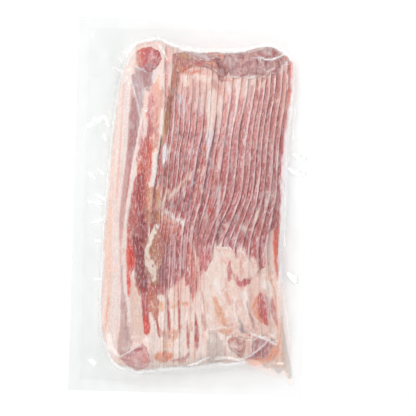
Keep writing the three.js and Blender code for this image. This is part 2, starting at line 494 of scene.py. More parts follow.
SLICE_MARKS = (
    # pale fat at the upper ends, and what runs down from it
    ("#F0D8CF", 0.9, [(-7, 109, 3), (-6, 103, 2.6)]),
    ("#F0D8CF", 0.7, [(1, 111, 2.4), (9, 109, 2.4), (16, 106, 2)]),
    ("#B97F83", 0.7, [(2, 104, 0.4), (1.4, 95, 0.7), (0.4, 84, 0.6)],
        [(6.6, 105, 0.4), (6.2, 94, 0.7), (5, 80, 0.6)]),
    ("#B97F83", 0.6, [(-3, 101, 0.4), (-4, 90, 0.6)]),
    ("#C09090", 0.6, [(10.6, 100, 0.4), (10, 86, 0.7), (9, 76, 0.6)]),
    ("#EBD9D2", 0.8, [(15.6, 96, 2.6), (15.6, 82, 2.2), (15.4, 66, 1.6), (14.6, 50, 1.2), (13, 40, 0.6)]),
    ("#EAD6D2", 0.75, [(24, 94, 1.2), (23.6, 78, 1.2), (22.4, 64, 0.8)]),
    ("#DCC6CC", 0.8, [(-9, 92, 1.6), (-11, 88, 2)]),
    ("#EAD5D0", 0.85, [(29, 105, 2), (31, 98, 1.4)],
        [(38, 106, 2.2), (37.6, 94, 1.4), (37, 82, 1.3), (36, 72, 0.8)]),
    ("#EAD5D0", 0.8, [(45.4, 106, 1.6), (45, 96, 0.9), (43.6, 82, 0.7)]),
    ("#E8D6D8", 0.7, [(33.6, 80, 0.8), (32.4, 70, 0.8), (31.4, 62, 0.6)]),
    ("#EFD2C6", 0.7, [(57.6, 106, 1.8), (57, 98, 1)]),
    ("#EFC9BC", 0.7, [(66.6, 86.4, 1), (71.6, 93, 1), (75.6, 88, 1), (79.8, 87, 1.6)]),
    ("#B4797C", 0.7, [(34.6, 96, 0.7), (32, 80, 0.8), (30.2, 65, 0.8), (28.6, 54, 0.8), (27.6, 48, 0.4)]),
    ("#C4645C", 0.8, [(54.4, 109, 1), (55, 101, 0.9), (53.6, 90, 0.5)]),
    ("#C4645C", 0.7, [(68.6, 110, 0.9), (67.4, 92, 1.2), (66.6, 88, 0.9)]),
    ("#C0655E", 0.7, [(73.6, 110, 0.9), (72.8, 98, 0.9)]),
    ("#C2605A", 0.75, [(78.6, 110, 0.6), (77, 96, 0.8), (76.6, 92, 0.5)]),
    ("#C99389", 0.75, [(17, 106, 2.2), (20, 101, 2.6), (22.4, 100, 1.4)]),
    ("#A25C5C", 0.85, [(21, 113, 1.2), (22.4, 108, 1.1)]),
    ("#D97A60", 0.7, [(-9, 113.6, 1), (-3, 112.4, 0.9), (3, 114.6, 0.8), (8, 115, 0.6)]),
    ("#DC8468", 0.6, [(24, 107.6, 0.9), (33, 107.4, 0.8)]),
    # brown, olive and orange beside the top slice, where the rind was
    ("#B87260", 0.95, [(-15.5, 121, 4), (-15.5, 108, 4.5), (-17, 98, 4)]),
    ("#EBD3CA", 0.85, [(-17.8, 123, 1.2), (-19.8, 108, 1.5), (-20.6, 100, 1)]),
    # a painted grey-white glint of the film
    ("#AC9490", 0.75, [(-18, 98, 1.2), (-14, 95, 1.4), (-12, 91.6, 1)]),
    ("#98604F", 0.95, [(-19, 92, 2.6), (-19.5, 84, 3), (-20.6, 79, 2.2)]),
    ("#9B6C46", 0.9, [(-20.6, 79, 2.2), (-21.4, 70, 2.2), (-22, 61, 1.8)]),
    ("#CBB08C", 0.85, [(-24.4, 76, 1), (-25, 68, 1.2), (-24.4, 58, 1.6), (-24.6, 53, 1.2)]),
    ("#A88156", 0.8, [(-25.4, 64, 0.7), (-24, 56, 0.7), (-23.6, 52, 0.8)]),
    ("#A9474A", 0.8, [(-16, 78, 0.4), (-17.6, 66, 0.7), (-18.8, 56, 0.6), (-19.4, 50, 0.3)]),
    ("#E2CAC4", 0.7, [(-15, 78, 0.5), (-16, 66, 0.6), (-16.6, 54, 0.8), (-18, 44, 0.9)]),
    ("#E4DCDE", 0.97, [(-22.6, 49, 1.6), (-22, 44, 2.4), (-22.8, 38, 2)]),
    ("#A85C52", 0.85, [(-21.6, 34, 1.6), (-21.8, 26, 2.2), (-21, 18, 1.6)]),
    ("#A96A66", 0.5, [(-18, 34, 2.6), (-17, 24, 2.4)]),
    ("#B8684F", 0.8, [(-21.6, 14, 1.2), (-21.6, 9, 0.9)]),
    ("#C0905F", 0.85, [(-26, 15, 1.2), (-26.4, 6, 1.8), (-27, 0, 2)]),
    ("#A16850", 0.9, [(-28, -5, 2.6), (-28.6, -12, 3), (-28.4, -15.6, 1.6)]),
    ("#C38662", 0.85, [(-24.6, -6, 1.4), (-25, -12, 1.2)]),
    ("#E6CDBB", 0.9, [(-23.4, -3, 0.7), (-22.4, 4, 1.2), (-20.6, 9, 1.3), (-18.6, 14, 0.9)]),
    # the diagonal band of fat and the crumbly edge where the first muscle ends
    ("#9C5559", 0.55, [(-17, 2, 2), (-10, 2, 5), (-4, -2, 3.4)]),
    ("#9C5559", 0.5, [(-12, 60, 3), (-4, 60, 4), (4, 61, 2)]),
    ("#E7C6B7", 0.85, [(-16.6, 6.6, 1), (-14, 11.4, 1.5), (-10.4, 16, 1.6), (-7, 20, 1.8)]),
    ("#E4BFB2", 0.75, [(-5, 21.6, 1.4), (-2, 24.6, 1.7), (1.6, 28, 1.4)]),
    ("#E4BFB2", 0.7, [(5.4, 29, 1.2), (9, 31.4, 1.3), (12.4, 34.6, 1)]),
    ("#E6C9BC", 0.7, [(4, 5, 0.8), (6, 11, 0.8), (7.6, 16, 0.6)]),
    ("#EFE3DE", 0.95, [(-23, -6, 0.9), (-19.6, -5.6, 1.2), (-16, -6.6, 1.2), (-13.4, -8.6, 1.1)],
        [(-12, -9.6, 0.9), (-9, -10.6, 1.4), (-6, -12.6, 1.7), (-4.6, -15, 1.2)]),
    ("#EBDCD8", 0.8, [(-3.4, -12, 0.7), (-5.6, -19, 0.8), (-7.4, -24, 0.5)]),
    ("#EBDCD8", 0.7, [(-9, -15, 0.5), (-10.6, -20, 0.5)]),
    ("#E2A794", 0.9, [(-21, -10, 2.2), (-16, -12.6, 2.6), (-12, -14, 1.8)]),
    ("#CC7D70", 0.8, [(-22, -17, 2.4), (-17, -20, 3.4), (-9, -20, 2.6)]),
    ("#B8625A", 0.85, [(-22, -24, 3), (-17, -27, 3.4), (-12, -27, 2)]),
    # red runs, long grooves of painted shade and lilac edges between the centre slices
    ("#CB5F49", 0.85, [(11.8, 58, 0.6), (10.8, 46, 1), (9.6, 36, 0.8), (8.6, 30, 0.3)]),
    ("#CB5F49", 0.8, [(7.6, 28, 0.6), (7.4, 20, 0.8), (6.6, 12, 0.6)]),
    ("#CE6750", 0.85, [(22, 54, 0.5), (21.6, 42, 1.1), (20.6, 34, 1.1), (19, 22, 1.2), (18, 15, 0.6)]),
    ("#D6C0CA", 0.85, [(17.4, 62, 1), (15.8, 50, 1.1), (16, 38, 1.1), (14.4, 22, 0.9), (12.4, 8, 0.7)]),
    ("#DCCFD2", 0.8, [(14.4, 64, 1.6), (13.4, 54, 1.3)]),
    ("#D6C0CA", 0.7,
        [(7.6, 60, 0.6), (5.6, 44, 0.7), (3, 28, 0.7), (0.6, 12, 0.6), (0.4, 0, 0.6), (-0.6, -12, 0.5)]),
    # painted shade along two long grooves
    ("#824249", 0.9, [(20.6, 78, 0.4), (19.4, 62, 0.7), (17.6, 50, 0.9), (15.6, 38, 0.8), (14.2, 26, 0.8)],
        [(14.2, 26, 0.8), (12.4, 12, 0.9), (10.6, 0, 1.1), (8.6, -12, 1.2), (7, -24, 0.8)]),
    ("#824249", 0.85,
        [(10.2, 62, 0.6), (8, 50, 0.7), (5.6, 36, 0.9), (3, 20, 0.9), (0.6, 8, 0.8), (-1.6, -4, 0.8)]),
    ("#BC5350", 0.9, [(17.4, 4, 2.6), (17.4, -3, 3.2)]),
    ("#E0AFA4", 0.7, [(13.4, 4, 0.5), (14.8, 7.4, 0.5), (18, 8.4, 0.4), (21, 6, 0.4)]),
    ("#E2C6BA", 0.8, [(11.6, -6, 0.5), (12.4, -12, 0.7), (11.8, -17, 0.4)]),
    ("#B86E6C", 0.8, [(15, -12, 3.4), (13, -22, 4), (9, -28, 4)]),
    ("#A84F50", 0.85, [(11, -28.6, 1.2), (17, -28.6, 1)]),
    ("#DCC6C4", 0.75, [(25, 18, 1.4), (24.4, 11, 1.6), (23.8, 0, 1.2), (23.6, -14, 0.9), (22.4, -27, 0.7)]),
    ("#7F4048", 0.8, [(28, -8, 0.7), (25.6, -16, 1.3), (24, -24, 1.8), (24.6, -31, 1.2)]),
    ("#E4CABC", 0.85, [(58.4, -2, 1.8), (57.6, -8, 1.4)]),
    ("#E3CBBE", 0.8, [(65, 8, 1.2), (64.8, 1, 1)]),
    ("#E8CFC2", 0.8, [(64, 12, 0.7), (69, 11.6, 0.7), (74.6, 12.6, 0.8)]),
    # a painted glint of the film
    ("#E3D9E0", 0.9, [(66.6, -4, 1.1)]),
    ("#D08A72", 0.7, [(63.6, -13, 1), (60, -20, 0.8)]),
    ("#9A4648", 0.85, [(66.6, -14, 0.9), (66.8, -20, 1.4)]),
    ("#9A4648", 0.75, [(60.6, -15, 1), (59.6, -19, 0.9)]),
    ("#E0C6BD", 0.7, [(30, -16, 2), (32, -18, 1.6)]),
    ("#E0C6BD", 0.6, [(44, -17, 2), (49, -17, 2), (54, -19, 1)]),
    ("#EADCE0", 0.95, [(79, 90, 0.4), (79.6, 60, 1.2), (79.4, 30, 2.2), (78.8, 10, 1.4), (78.6, -10, 0.7)]),
    ("#DDC5BC", 0.9, [(68.4, -24, 1), (69, -34, 2.4), (69.6, -44, 2.4), (72, -56, 1.6)]),
    # lean below the first muscle, down to the fat
    ("#A8625C", 0.7, [(-20, -31, 3.4), (-18, -38, 3)]),
    ("#A36A70", 0.8, [(-21, -44, 2), (-21, -58, 2.6), (-21, -70, 2.6)]),
    ("#9A585C", 0.8, [(-17.6, -36, 0.7), (-17.4, -52, 1), (-17.6, -68, 0.7)]),
    ("#9A585C", 0.75, [(-8.6, -30, 0.7), (-8.6, -46, 0.9), (-8.8, -60, 0.6)]),
    ("#B9777A", 0.7, [(-13, -32, 1.6), (-12.6, -52, 1.8), (-12, -62, 1.4)]),
    ("#D9BDB9", 0.7, [(-12, -30, 0.6), (-12.6, -44, 0.7), (-13.6, -60, 0.6)],
        [(-4.4, -26, 1.2), (-3.6, -40, 1.2), (-4.4, -54, 0.8)]),
    ("#D9BDB9", 0.5, [(1, -20, 1), (2, -28, 1)]),
    ("#C5807C", 0.7, [(-2, -40, 1.4), (-1.6, -56, 1.6)]),
    ("#D8867A", 0.85, [(1.4, -35, 1.2), (3, -46, 1.8), (4, -60, 2), (4.6, -74, 1.4), (4.6, -80, 0.6)]),
    ("#DFA497", 0.8, [(7.6, -44, 1.6), (8.6, -58, 2), (9.6, -70, 1.4)]),
    ("#E9CBC0", 0.8, [(4.6, -32, 0.8), (7, -44, 0.9), (9, -54, 0.6)]),
    ("#C9797A", 0.85, [(8.6, -34, 1.6), (12, -44, 2.2), (15, -50, 3), (16, -54, 1.2)]),
    ("#C9797A", 0.75, [(14, -36, 1.8), (16.4, -43, 2)]),
    ("#E3C2C2", 0.7, [(11.6, -35, 0.7), (14, -40, 0.6), (17.6, -33, 1.2)]),
    ("#C6524F", 0.85, [(15.6, -40.6, 0.8)]),
    ("#D6574E", 0.95, [(-0.8, -66, 1)]),
    # the lower ends, fat between thin red lines
    ("#B5625A", 0.95, [(-35, -68, 4), (-29, -71, 6), (-22, -72, 3.4)]),
    ("#B96858", 0.95, [(-33, -77, 3.4), (-29.4, -80, 5), (-26, -82, 3.4)]),
    ("#C47A66", 0.92, [(-30, -88, 3), (-26.6, -89, 3.6), (-26, -95, 1.8)]),
    ("#E0B8A6", 0.8, [(-30.4, -81.4, 0.4), (-28, -85.6, 0.6)]),
    ("#E3A379", 0.9, [(-21.6, -82.6, 1.8), (-21, -87, 2)]),
    ("#E4B093", 0.85, [(-12, -85.4, 1.2), (-9, -84, 1)]),
    ("#DE9478", 0.85, [(-3.6, -81.6, 1.3), (0, -83, 1.7)]),
    ("#E2A98F", 0.8, [(-4, -101.6, 1.4)]),
    ("#E2A98F", 0.6, [(-12, -104, 1.2), (-8, -106, 0.8)]),
    ("#D98F7E", 0.8, [(4.6, -98, 0.9), (4.8, -104, 1.1)]),
    ("#CFA098", 0.85, [(-20, -108, 1.4), (-17, -110, 2.6), (-14, -110, 1.8)]),
    ("#E29A7C", 0.9, [(-24, -126.6, 2.2), (-19, -127, 3.6), (-15.4, -129, 1.8)]),
    ("#E4B498", 0.8, [(-18, -119, 1.8), (-14, -118, 1.8)]),
    ("#C98B88", 0.85, [(-12, -131, 0.7), (-6, -129.8, 1.1), (0, -128.4, 1.4), (2.6, -124.6, 1.2)]),
    ("#D9705A", 0.85, [(-5, -131.8, 0.5), (0, -131.6, 0.5)]),
    ("#B4605A", 0.9, [(-17, -76, 0.4), (-15.8, -90, 0.7), (-14.6, -104, 0.9), (-14, -111, 0.5)]),
    ("#B4605A", 0.85, [(-8, -62, 0.4), (-6.8, -84, 0.6), (-5.8, -104, 0.5)],
        [(0.6, -96, 0.4), (1.4, -110, 0.8), (2, -119, 0.5)]),
    ("#B85A50", 0.95, [(7.4, -89, 0.5), (8, -97, 0.9), (9, -108, 1.6), (9.4, -118, 1.1), (9.6, -121, 0.4)]),
    ("#D09A90", 0.85, [(13.4, -90, 1), (14.2, -98, 1.6), (15.6, -104, 0.8)]),
    ("#C08078", 0.8, [(12.6, -72, 0.4), (15.6, -88, 0.6), (16.6, -104, 0.5)]),
    ("#B4605A", 0.85, [(-25.4, -95, 0.5), (-23.8, -104, 0.8), (-22.6, -111, 0.4)]),
    ("#C9B6AE", 0.92, [(22, -107, 3), (25, -116, 7), (24, -127, 6.6)]),
    ("#D3C6C2", 0.8, [(14, -128, 2.4), (12, -133, 2)]),
    ("#C9A9A4", 0.7, [(32, -118, 1), (33.6, -128, 1.2)]),
    # the juice that has stained the right side
    ("#A5403F", 0.95, [(76.4, 9, 0.4), (75.8, -6, 1.2), (74.6, -20, 2.4)]),
    ("#CC4D3E", 0.95, [(74.6, -20, 2.6), (75.2, -34, 2.2)]),
    ("#E2694F", 0.95, [(75.2, -34, 2.4), (76, -48, 2), (77, -60, 0.8)]),
    ("#DC6650", 0.9,
        [(82.6, 127, 1.2), (83.8, 116, 1.8), (83.4, 104, 1.8), (81.6, 94, 1.5), (80.6, 88, 0.8)]),
    ("#C8605C", 0.7, [(79.6, 84, 1.2), (78.6, 72, 1.4), (78, 60, 1.6), (77, 48, 1)]),
    ("#DC8C70", 0.9, [(-24, -128, 2.4), (-19, -128, 5), (-14, -126.6, 3.4)]),
    ("#E9B8AE", 0.6, [(77, 122, 3), (79, 106, 3.4), (77.6, 88, 3), (75.6, 70, 2)]),
    # painted shadow in the crevice beside the top slice, partly brown further down
    ("#5A3632", 0.9, [(-26.4, 57, 0.4), (-27, 48, 0.8), (-27.8, 38, 0.7), (-28.6, 30, 0.4)]),
    ("#6E4A38", 0.8, [(-29.4, 24, 0.5), (-30.4, 14, 0.7), (-31, 4, 0.6)]),
    ("#B24C4C", 0.92, [(-36, -72, 2), (-34.6, -84, 2.2), (-33.4, -96, 2)]),
    ("#D04A3E", 0.95, [(-33.6, -97, 2), (-32.6, -102, 2.2), (-32.4, -107, 1.8)]),
    # the lower ends' thin red lines once more, where the film presses them wide
    ("#BC6058", 0.85, [(-16, -78, 0.7), (-15, -92, 1.1), (-14.2, -104, 1.3)],
        [(-7.2, -80, 0.7), (-6.2, -92, 1), (-5.6, -103, 0.8)],
        [(1, -100, 0.7), (1.8, -110, 1.1), (2.4, -119, 0.7)]),
    ("#B4554C", 0.9, [(8.2, -96, 0.9), (9.2, -107, 2.1), (9.6, -117, 1.6)]),
    ("#BC6058", 0.85, [(-25, -96, 0.7), (-23.4, -105, 1), (-22.4, -111, 0.6)]),
    ("#EAB095", 0.85, [(78.6, -84, 1), (80, -98, 2), (81, -110, 2.6), (81.6, -124, 3)]),
    ("#E07F5E", 0.8, [(70, -129.6, 0.8), (74, -127, 1.4), (78, -122, 1.4), (80, -114, 1)]),
    # smaller stains and paler runs over all of it
    ("#A05A60", 0.85, [(-7, 14, 1.8), (-6, 4, 2)]),
    ("#A05C60", 0.7, [(33, -22, 1.6), (34, -29, 1.4)]),
    ("#E4C8C6", 0.7, [(24.6, 50, 1), (24, 40, 1.4), (22.6, 30, 0.8)]),
    ("#E4C6BE", 0.7, [(9, 18, 1.2), (10.4, 12, 1.6)]),
    ("#E2CCCA", 0.7, [(-7, 90, 1.4), (-5.6, 80, 1.6)]),
    ("#DCBABC", 0.6, [(33.6, 50, 1), (34.4, 40, 1.4), (34, 30, 1)]),
    ("#DB8264", 0.85, [(-9, 114.6, 1.6), (-3, 113.6, 1.6), (3, 114.8, 1)]),
    ("#D8A690", 0.8, [(-18, -114, 2), (-12, -113, 2.6), (-8, -109.6, 1.8)]),
    ("#A45C5E", 0.8, [(60, -40, 1.8), (62, -48, 2)]),
    ("#D8ACAA", 0.6, [(74, 14, 1.6), (74, 0, 1.6)]),
    ("#D0A098", 0.7, [(53, -114, 1.4), (54, -122, 1.6)]),
    ("#A06A6A", 0.8, [(24, 112, 1.6), (25, 107, 1.6)]),
    ("#9A5454", 0.6, [(40, -4, 1.2), (39.6, -14, 1.2)]),
    ("#E2C4BE", 0.6, [(64.6, 12, 1.6)]),
    ("#DFBEBB", 0.6, [(64, -36, 1.4), (64, -42, 1.2)]),
    ("#C87C62", 0.85, [(-27, -78, 1.6), (-25.6, -84, 1.4)]),
    ("#D89E8C", 0.7, [(-22, -106, 1.6), (-14, -107, 1.6), (-6, -106, 2)]),
    ("#E0C6C4", 0.7, [(-11, 84, 1.2), (-9.6, 76, 1.4)]),
    ("#A85A56", 0.7, [(14, -6, 1.4), (13.6, -13, 1.4)]),
    ("#9A5252", 0.6, [(44, 4, 1.2), (43.6, -4, 1.2)]),
    ("#A2585A", 0.7, [(-6.6, 38, 1.4), (-6, 30, 1.4)]),
    ("#B98486", 0.7, [(50, 104, 1.2), (49.6, 96, 1.4)]),
    ("#8E5A54", 0.8, [(-25.6, 28, 1.2), (-25.4, 20, 1.2)]),
    ("#D2B8B8", 0.6, [(60.4, 14, 1), (60, 0, 1.1)]),
    ("#D6BCBA", 0.6, [(70.4, 26, 1), (70, 12, 1.1)]),
    ("#DAC0BC", 0.6, [(64.6, 15, 1), (64.2, 4, 1)]),
    ("#E4BFB4", 0.7, [(80, 96, 1), (80.4, 84, 1)]),
    ("#D8A09A", 0.7, [(4, 10, 1.2), (4.2, -2, 1.4)]),
    ("#B98480", 0.7, [(-16, -1, 1.2), (-16, -10, 1.4)]),
)


def paint_slices(x, y, number, shown):
    """Tissue of the fanned slices, with a painted highlight on each cut edge and painted shade in each
    groove. shown runs over each visible strip, from its groove to its edge.
    """
    ragged = mottle(number * 1.7 + shown, y / 7, 11)
    streak = mottle((number + shown) * 4.5, y / 9, 12)
    fine = mottle((number + shown) * 9, y / 3, 13)
    grain = mottle(x / 0.8, y / 1.6, 19)
    cloud = mottle(x / 12, y / 20, 14)
    right = smooth(18, 34, x)

    rosy = 0.5 * cloud + 0.5 * streak - 0.4 * (shown - 0.5) + 0.5 * smooth(50, 84, x) * smooth(20, 80, y)
    lean = tint(tint(LEAN, LEAN_PALE, smooth(0, 100, y)), LEAN_RED, smooth(-0.4, 0.9, rosy))
    lean = tint(lean, LEAN_MAUVE, 0.7 * smooth(0.1, 0.9, shown + 0.4 * streak - 0.25))
    lean = tint(lean, MEMBRANE_AND_HIGHLIGHT, 0.75 * smooth(0.2, 0.8, 0.7 * streak + 0.4 * fine + 0.35 * grain))
    deep = smooth(0.2, 0.8, -0.6 * streak - 0.4 * fine - 0.35 * grain)
    lean = tint(lean, LEAN_DEEP, blend(0.7, 0.5, right) * deep)
    fat = tint(FAT_CREAM, FAT_PINK, smooth(-0.4, 0.9, mottle(x / 8, y / 14, 15) + 0.4 * fine))
    fat = tint(fat, FAT_WHITE, 0.6 * smooth(-60, -84, y) * smooth(-0.7, 0.4, streak))

    below = y - lean_foot(x) + 4 * ragged + 2 * fine
    above = lean_head(x) - y + 7 * ragged + 5 * streak
    in_lean = smooth(-2.5, 2.5, below) * blend(0.25, 1, smooth(-7, 7, above))
    tints = tint(fat, lean, in_lean)

    # The membrane along each cut edge, partly a painted highlight of the film on the ridge.
    edge = smooth(0.7, 0.84, shown) * (1 - 0.4 * smooth(0.95, 1.0, shown))
    strength = blend(0.5, blend(0.56, 0.7, smooth(40, 90, y)), right) * in_lean
    strength = strength * (0.85 + 0.6 * mottle(number * 7.7, y / 12, 20))
    tints = tint(tints, MEMBRANE_AND_HIGHLIGHT, np.clip(edge * strength, 0, 1))
    # Painted shade in the groove beside each ridge: strong on lean, faint on fat, lighter at the upper
    # right.
    groove = 1 - smooth(0.0, 0.24, shown)
    depth = blend(0.12, blend(0.72, blend(0.62, 0.35, smooth(10, 100, y)), right), in_lean)
    depth = depth * (0.8 + 0.5 * mottle(number * 5.3, y / 24, 16))
    tints = tint(tints, GROOVE_SHADE, np.clip(groove * depth, 0, 1))

    loose = blend(0.35, 1, in_lean)
    warp_x = x + loose * (0.5 * mottle(x / 2.2, y / 3, 17) + 0.4 * fine)
    warp_y = y + loose * (1.8 * mottle(x / 2, y / 4, 18) + 1.5 * fine + 1.5 * streak)
    tints = brush(tints, warp_x, warp_y, SLICE_MARKS)
    return tints * (1 + 0.08 * fine + 0.08 * grain)[:, None]


def straight_slices(name, count, columns, stations, thickness):
    """A piece of straight slices, with each point's place in its slice and its slice's number."""
    piece = grow(
        add_object(name, bpy.data.meshes.new(name)), slice_fan, Slices=count, Columns=columns,
        Stations=stations, Pitch=SLICE_PITCH * MM, Width=SLICE_WIDTH * MM, Length=2 * HALF_LENGTH * MM,
        Thickness=thickness * MM, Finish=raw_meat,
    )
    share = read_points(piece.data, "share", 3)
    return piece, share, np.round(read_points(piece.data, "number", 1)).astype(int)


def lay_slices(name, first, count):
    """A run of fanned slices: straight ones from the tree, laid on each other and coloured."""
    piece, share, numbers = straight_slices(name, count, SLICE_COLUMNS, SLICE_STATIONS, SLICE_THICKNESS)
    numbers = numbers + first
    farthest = (SLICE_COLUMNS - 1) / SHOWN_COLUMNS
    x, y, z, shown = (np.zeros(len(share)) for _ in range(4))
    for number in range(first, first + count):
        own = numbers == number
        from_edge = (0.5 - share[own, 0]) * (SLICE_COLUMNS - 1) / SHOWN_COLUMNS
        along = share[own, 1] * 2 * HALF_LENGTH
        jitter = END_JITTER * mottle(number * 3.1, np.sign(along) * 2.0, 8) - END_JITTER
        visible = np.maximum(cut_edge(number, along) - cut_edge(number - 1, along), 1.0)
        strip = visible * SHOWN_MARGIN
        hidden = np.clip((from_edge - 1) / (farthest - 1), 0, 1)
        inward = np.where(from_edge < 1, from_edge * strip, strip + (SLICE_WIDTH - strip) * hidden)
        across = np.maximum(cut_edge(number, along) - inward, left_edge(along) + FOOT_INSET + number)
        at_y = fit_to_ends(along, across, jitter)
        upper = slice_top(number, inward, at_y)
        lower = slice_bottom(number, inward, at_y, upper)
        x[own], y[own] = across, at_y
        z[own] = np.where(share[own, 2] > 0, upper, lower)
        shown[own] = np.clip(1 - inward / visible, 0, 1)
    set_points(piece.data, x, y, z)
    set_tints(piece.data, "tissue", paint_slices(x, y, numbers, shown))
    piece.data.shade_smooth()
    piece.data.set_sharp_from_angle(angle=CUT_EDGE_ANGLE)
    part_of_pack(piece)
    return piece


slice_fan = fan_tree()
meat_pieces = [
    lay_slices("centre_slices", 0, CENTRE_SLICES),
    lay_slices("right_slices", CENTRE_SLICES, len(CUT_EDGES) - CENTRE_SLICES),
]


# ---- The top slice -----------------------------------------------------------------------------
# The last slice of the fan lies on top with its whole face bare: back fat along its left edge, then
# layers of lean and fat that run the length of it. It bends from the table up onto the pile.

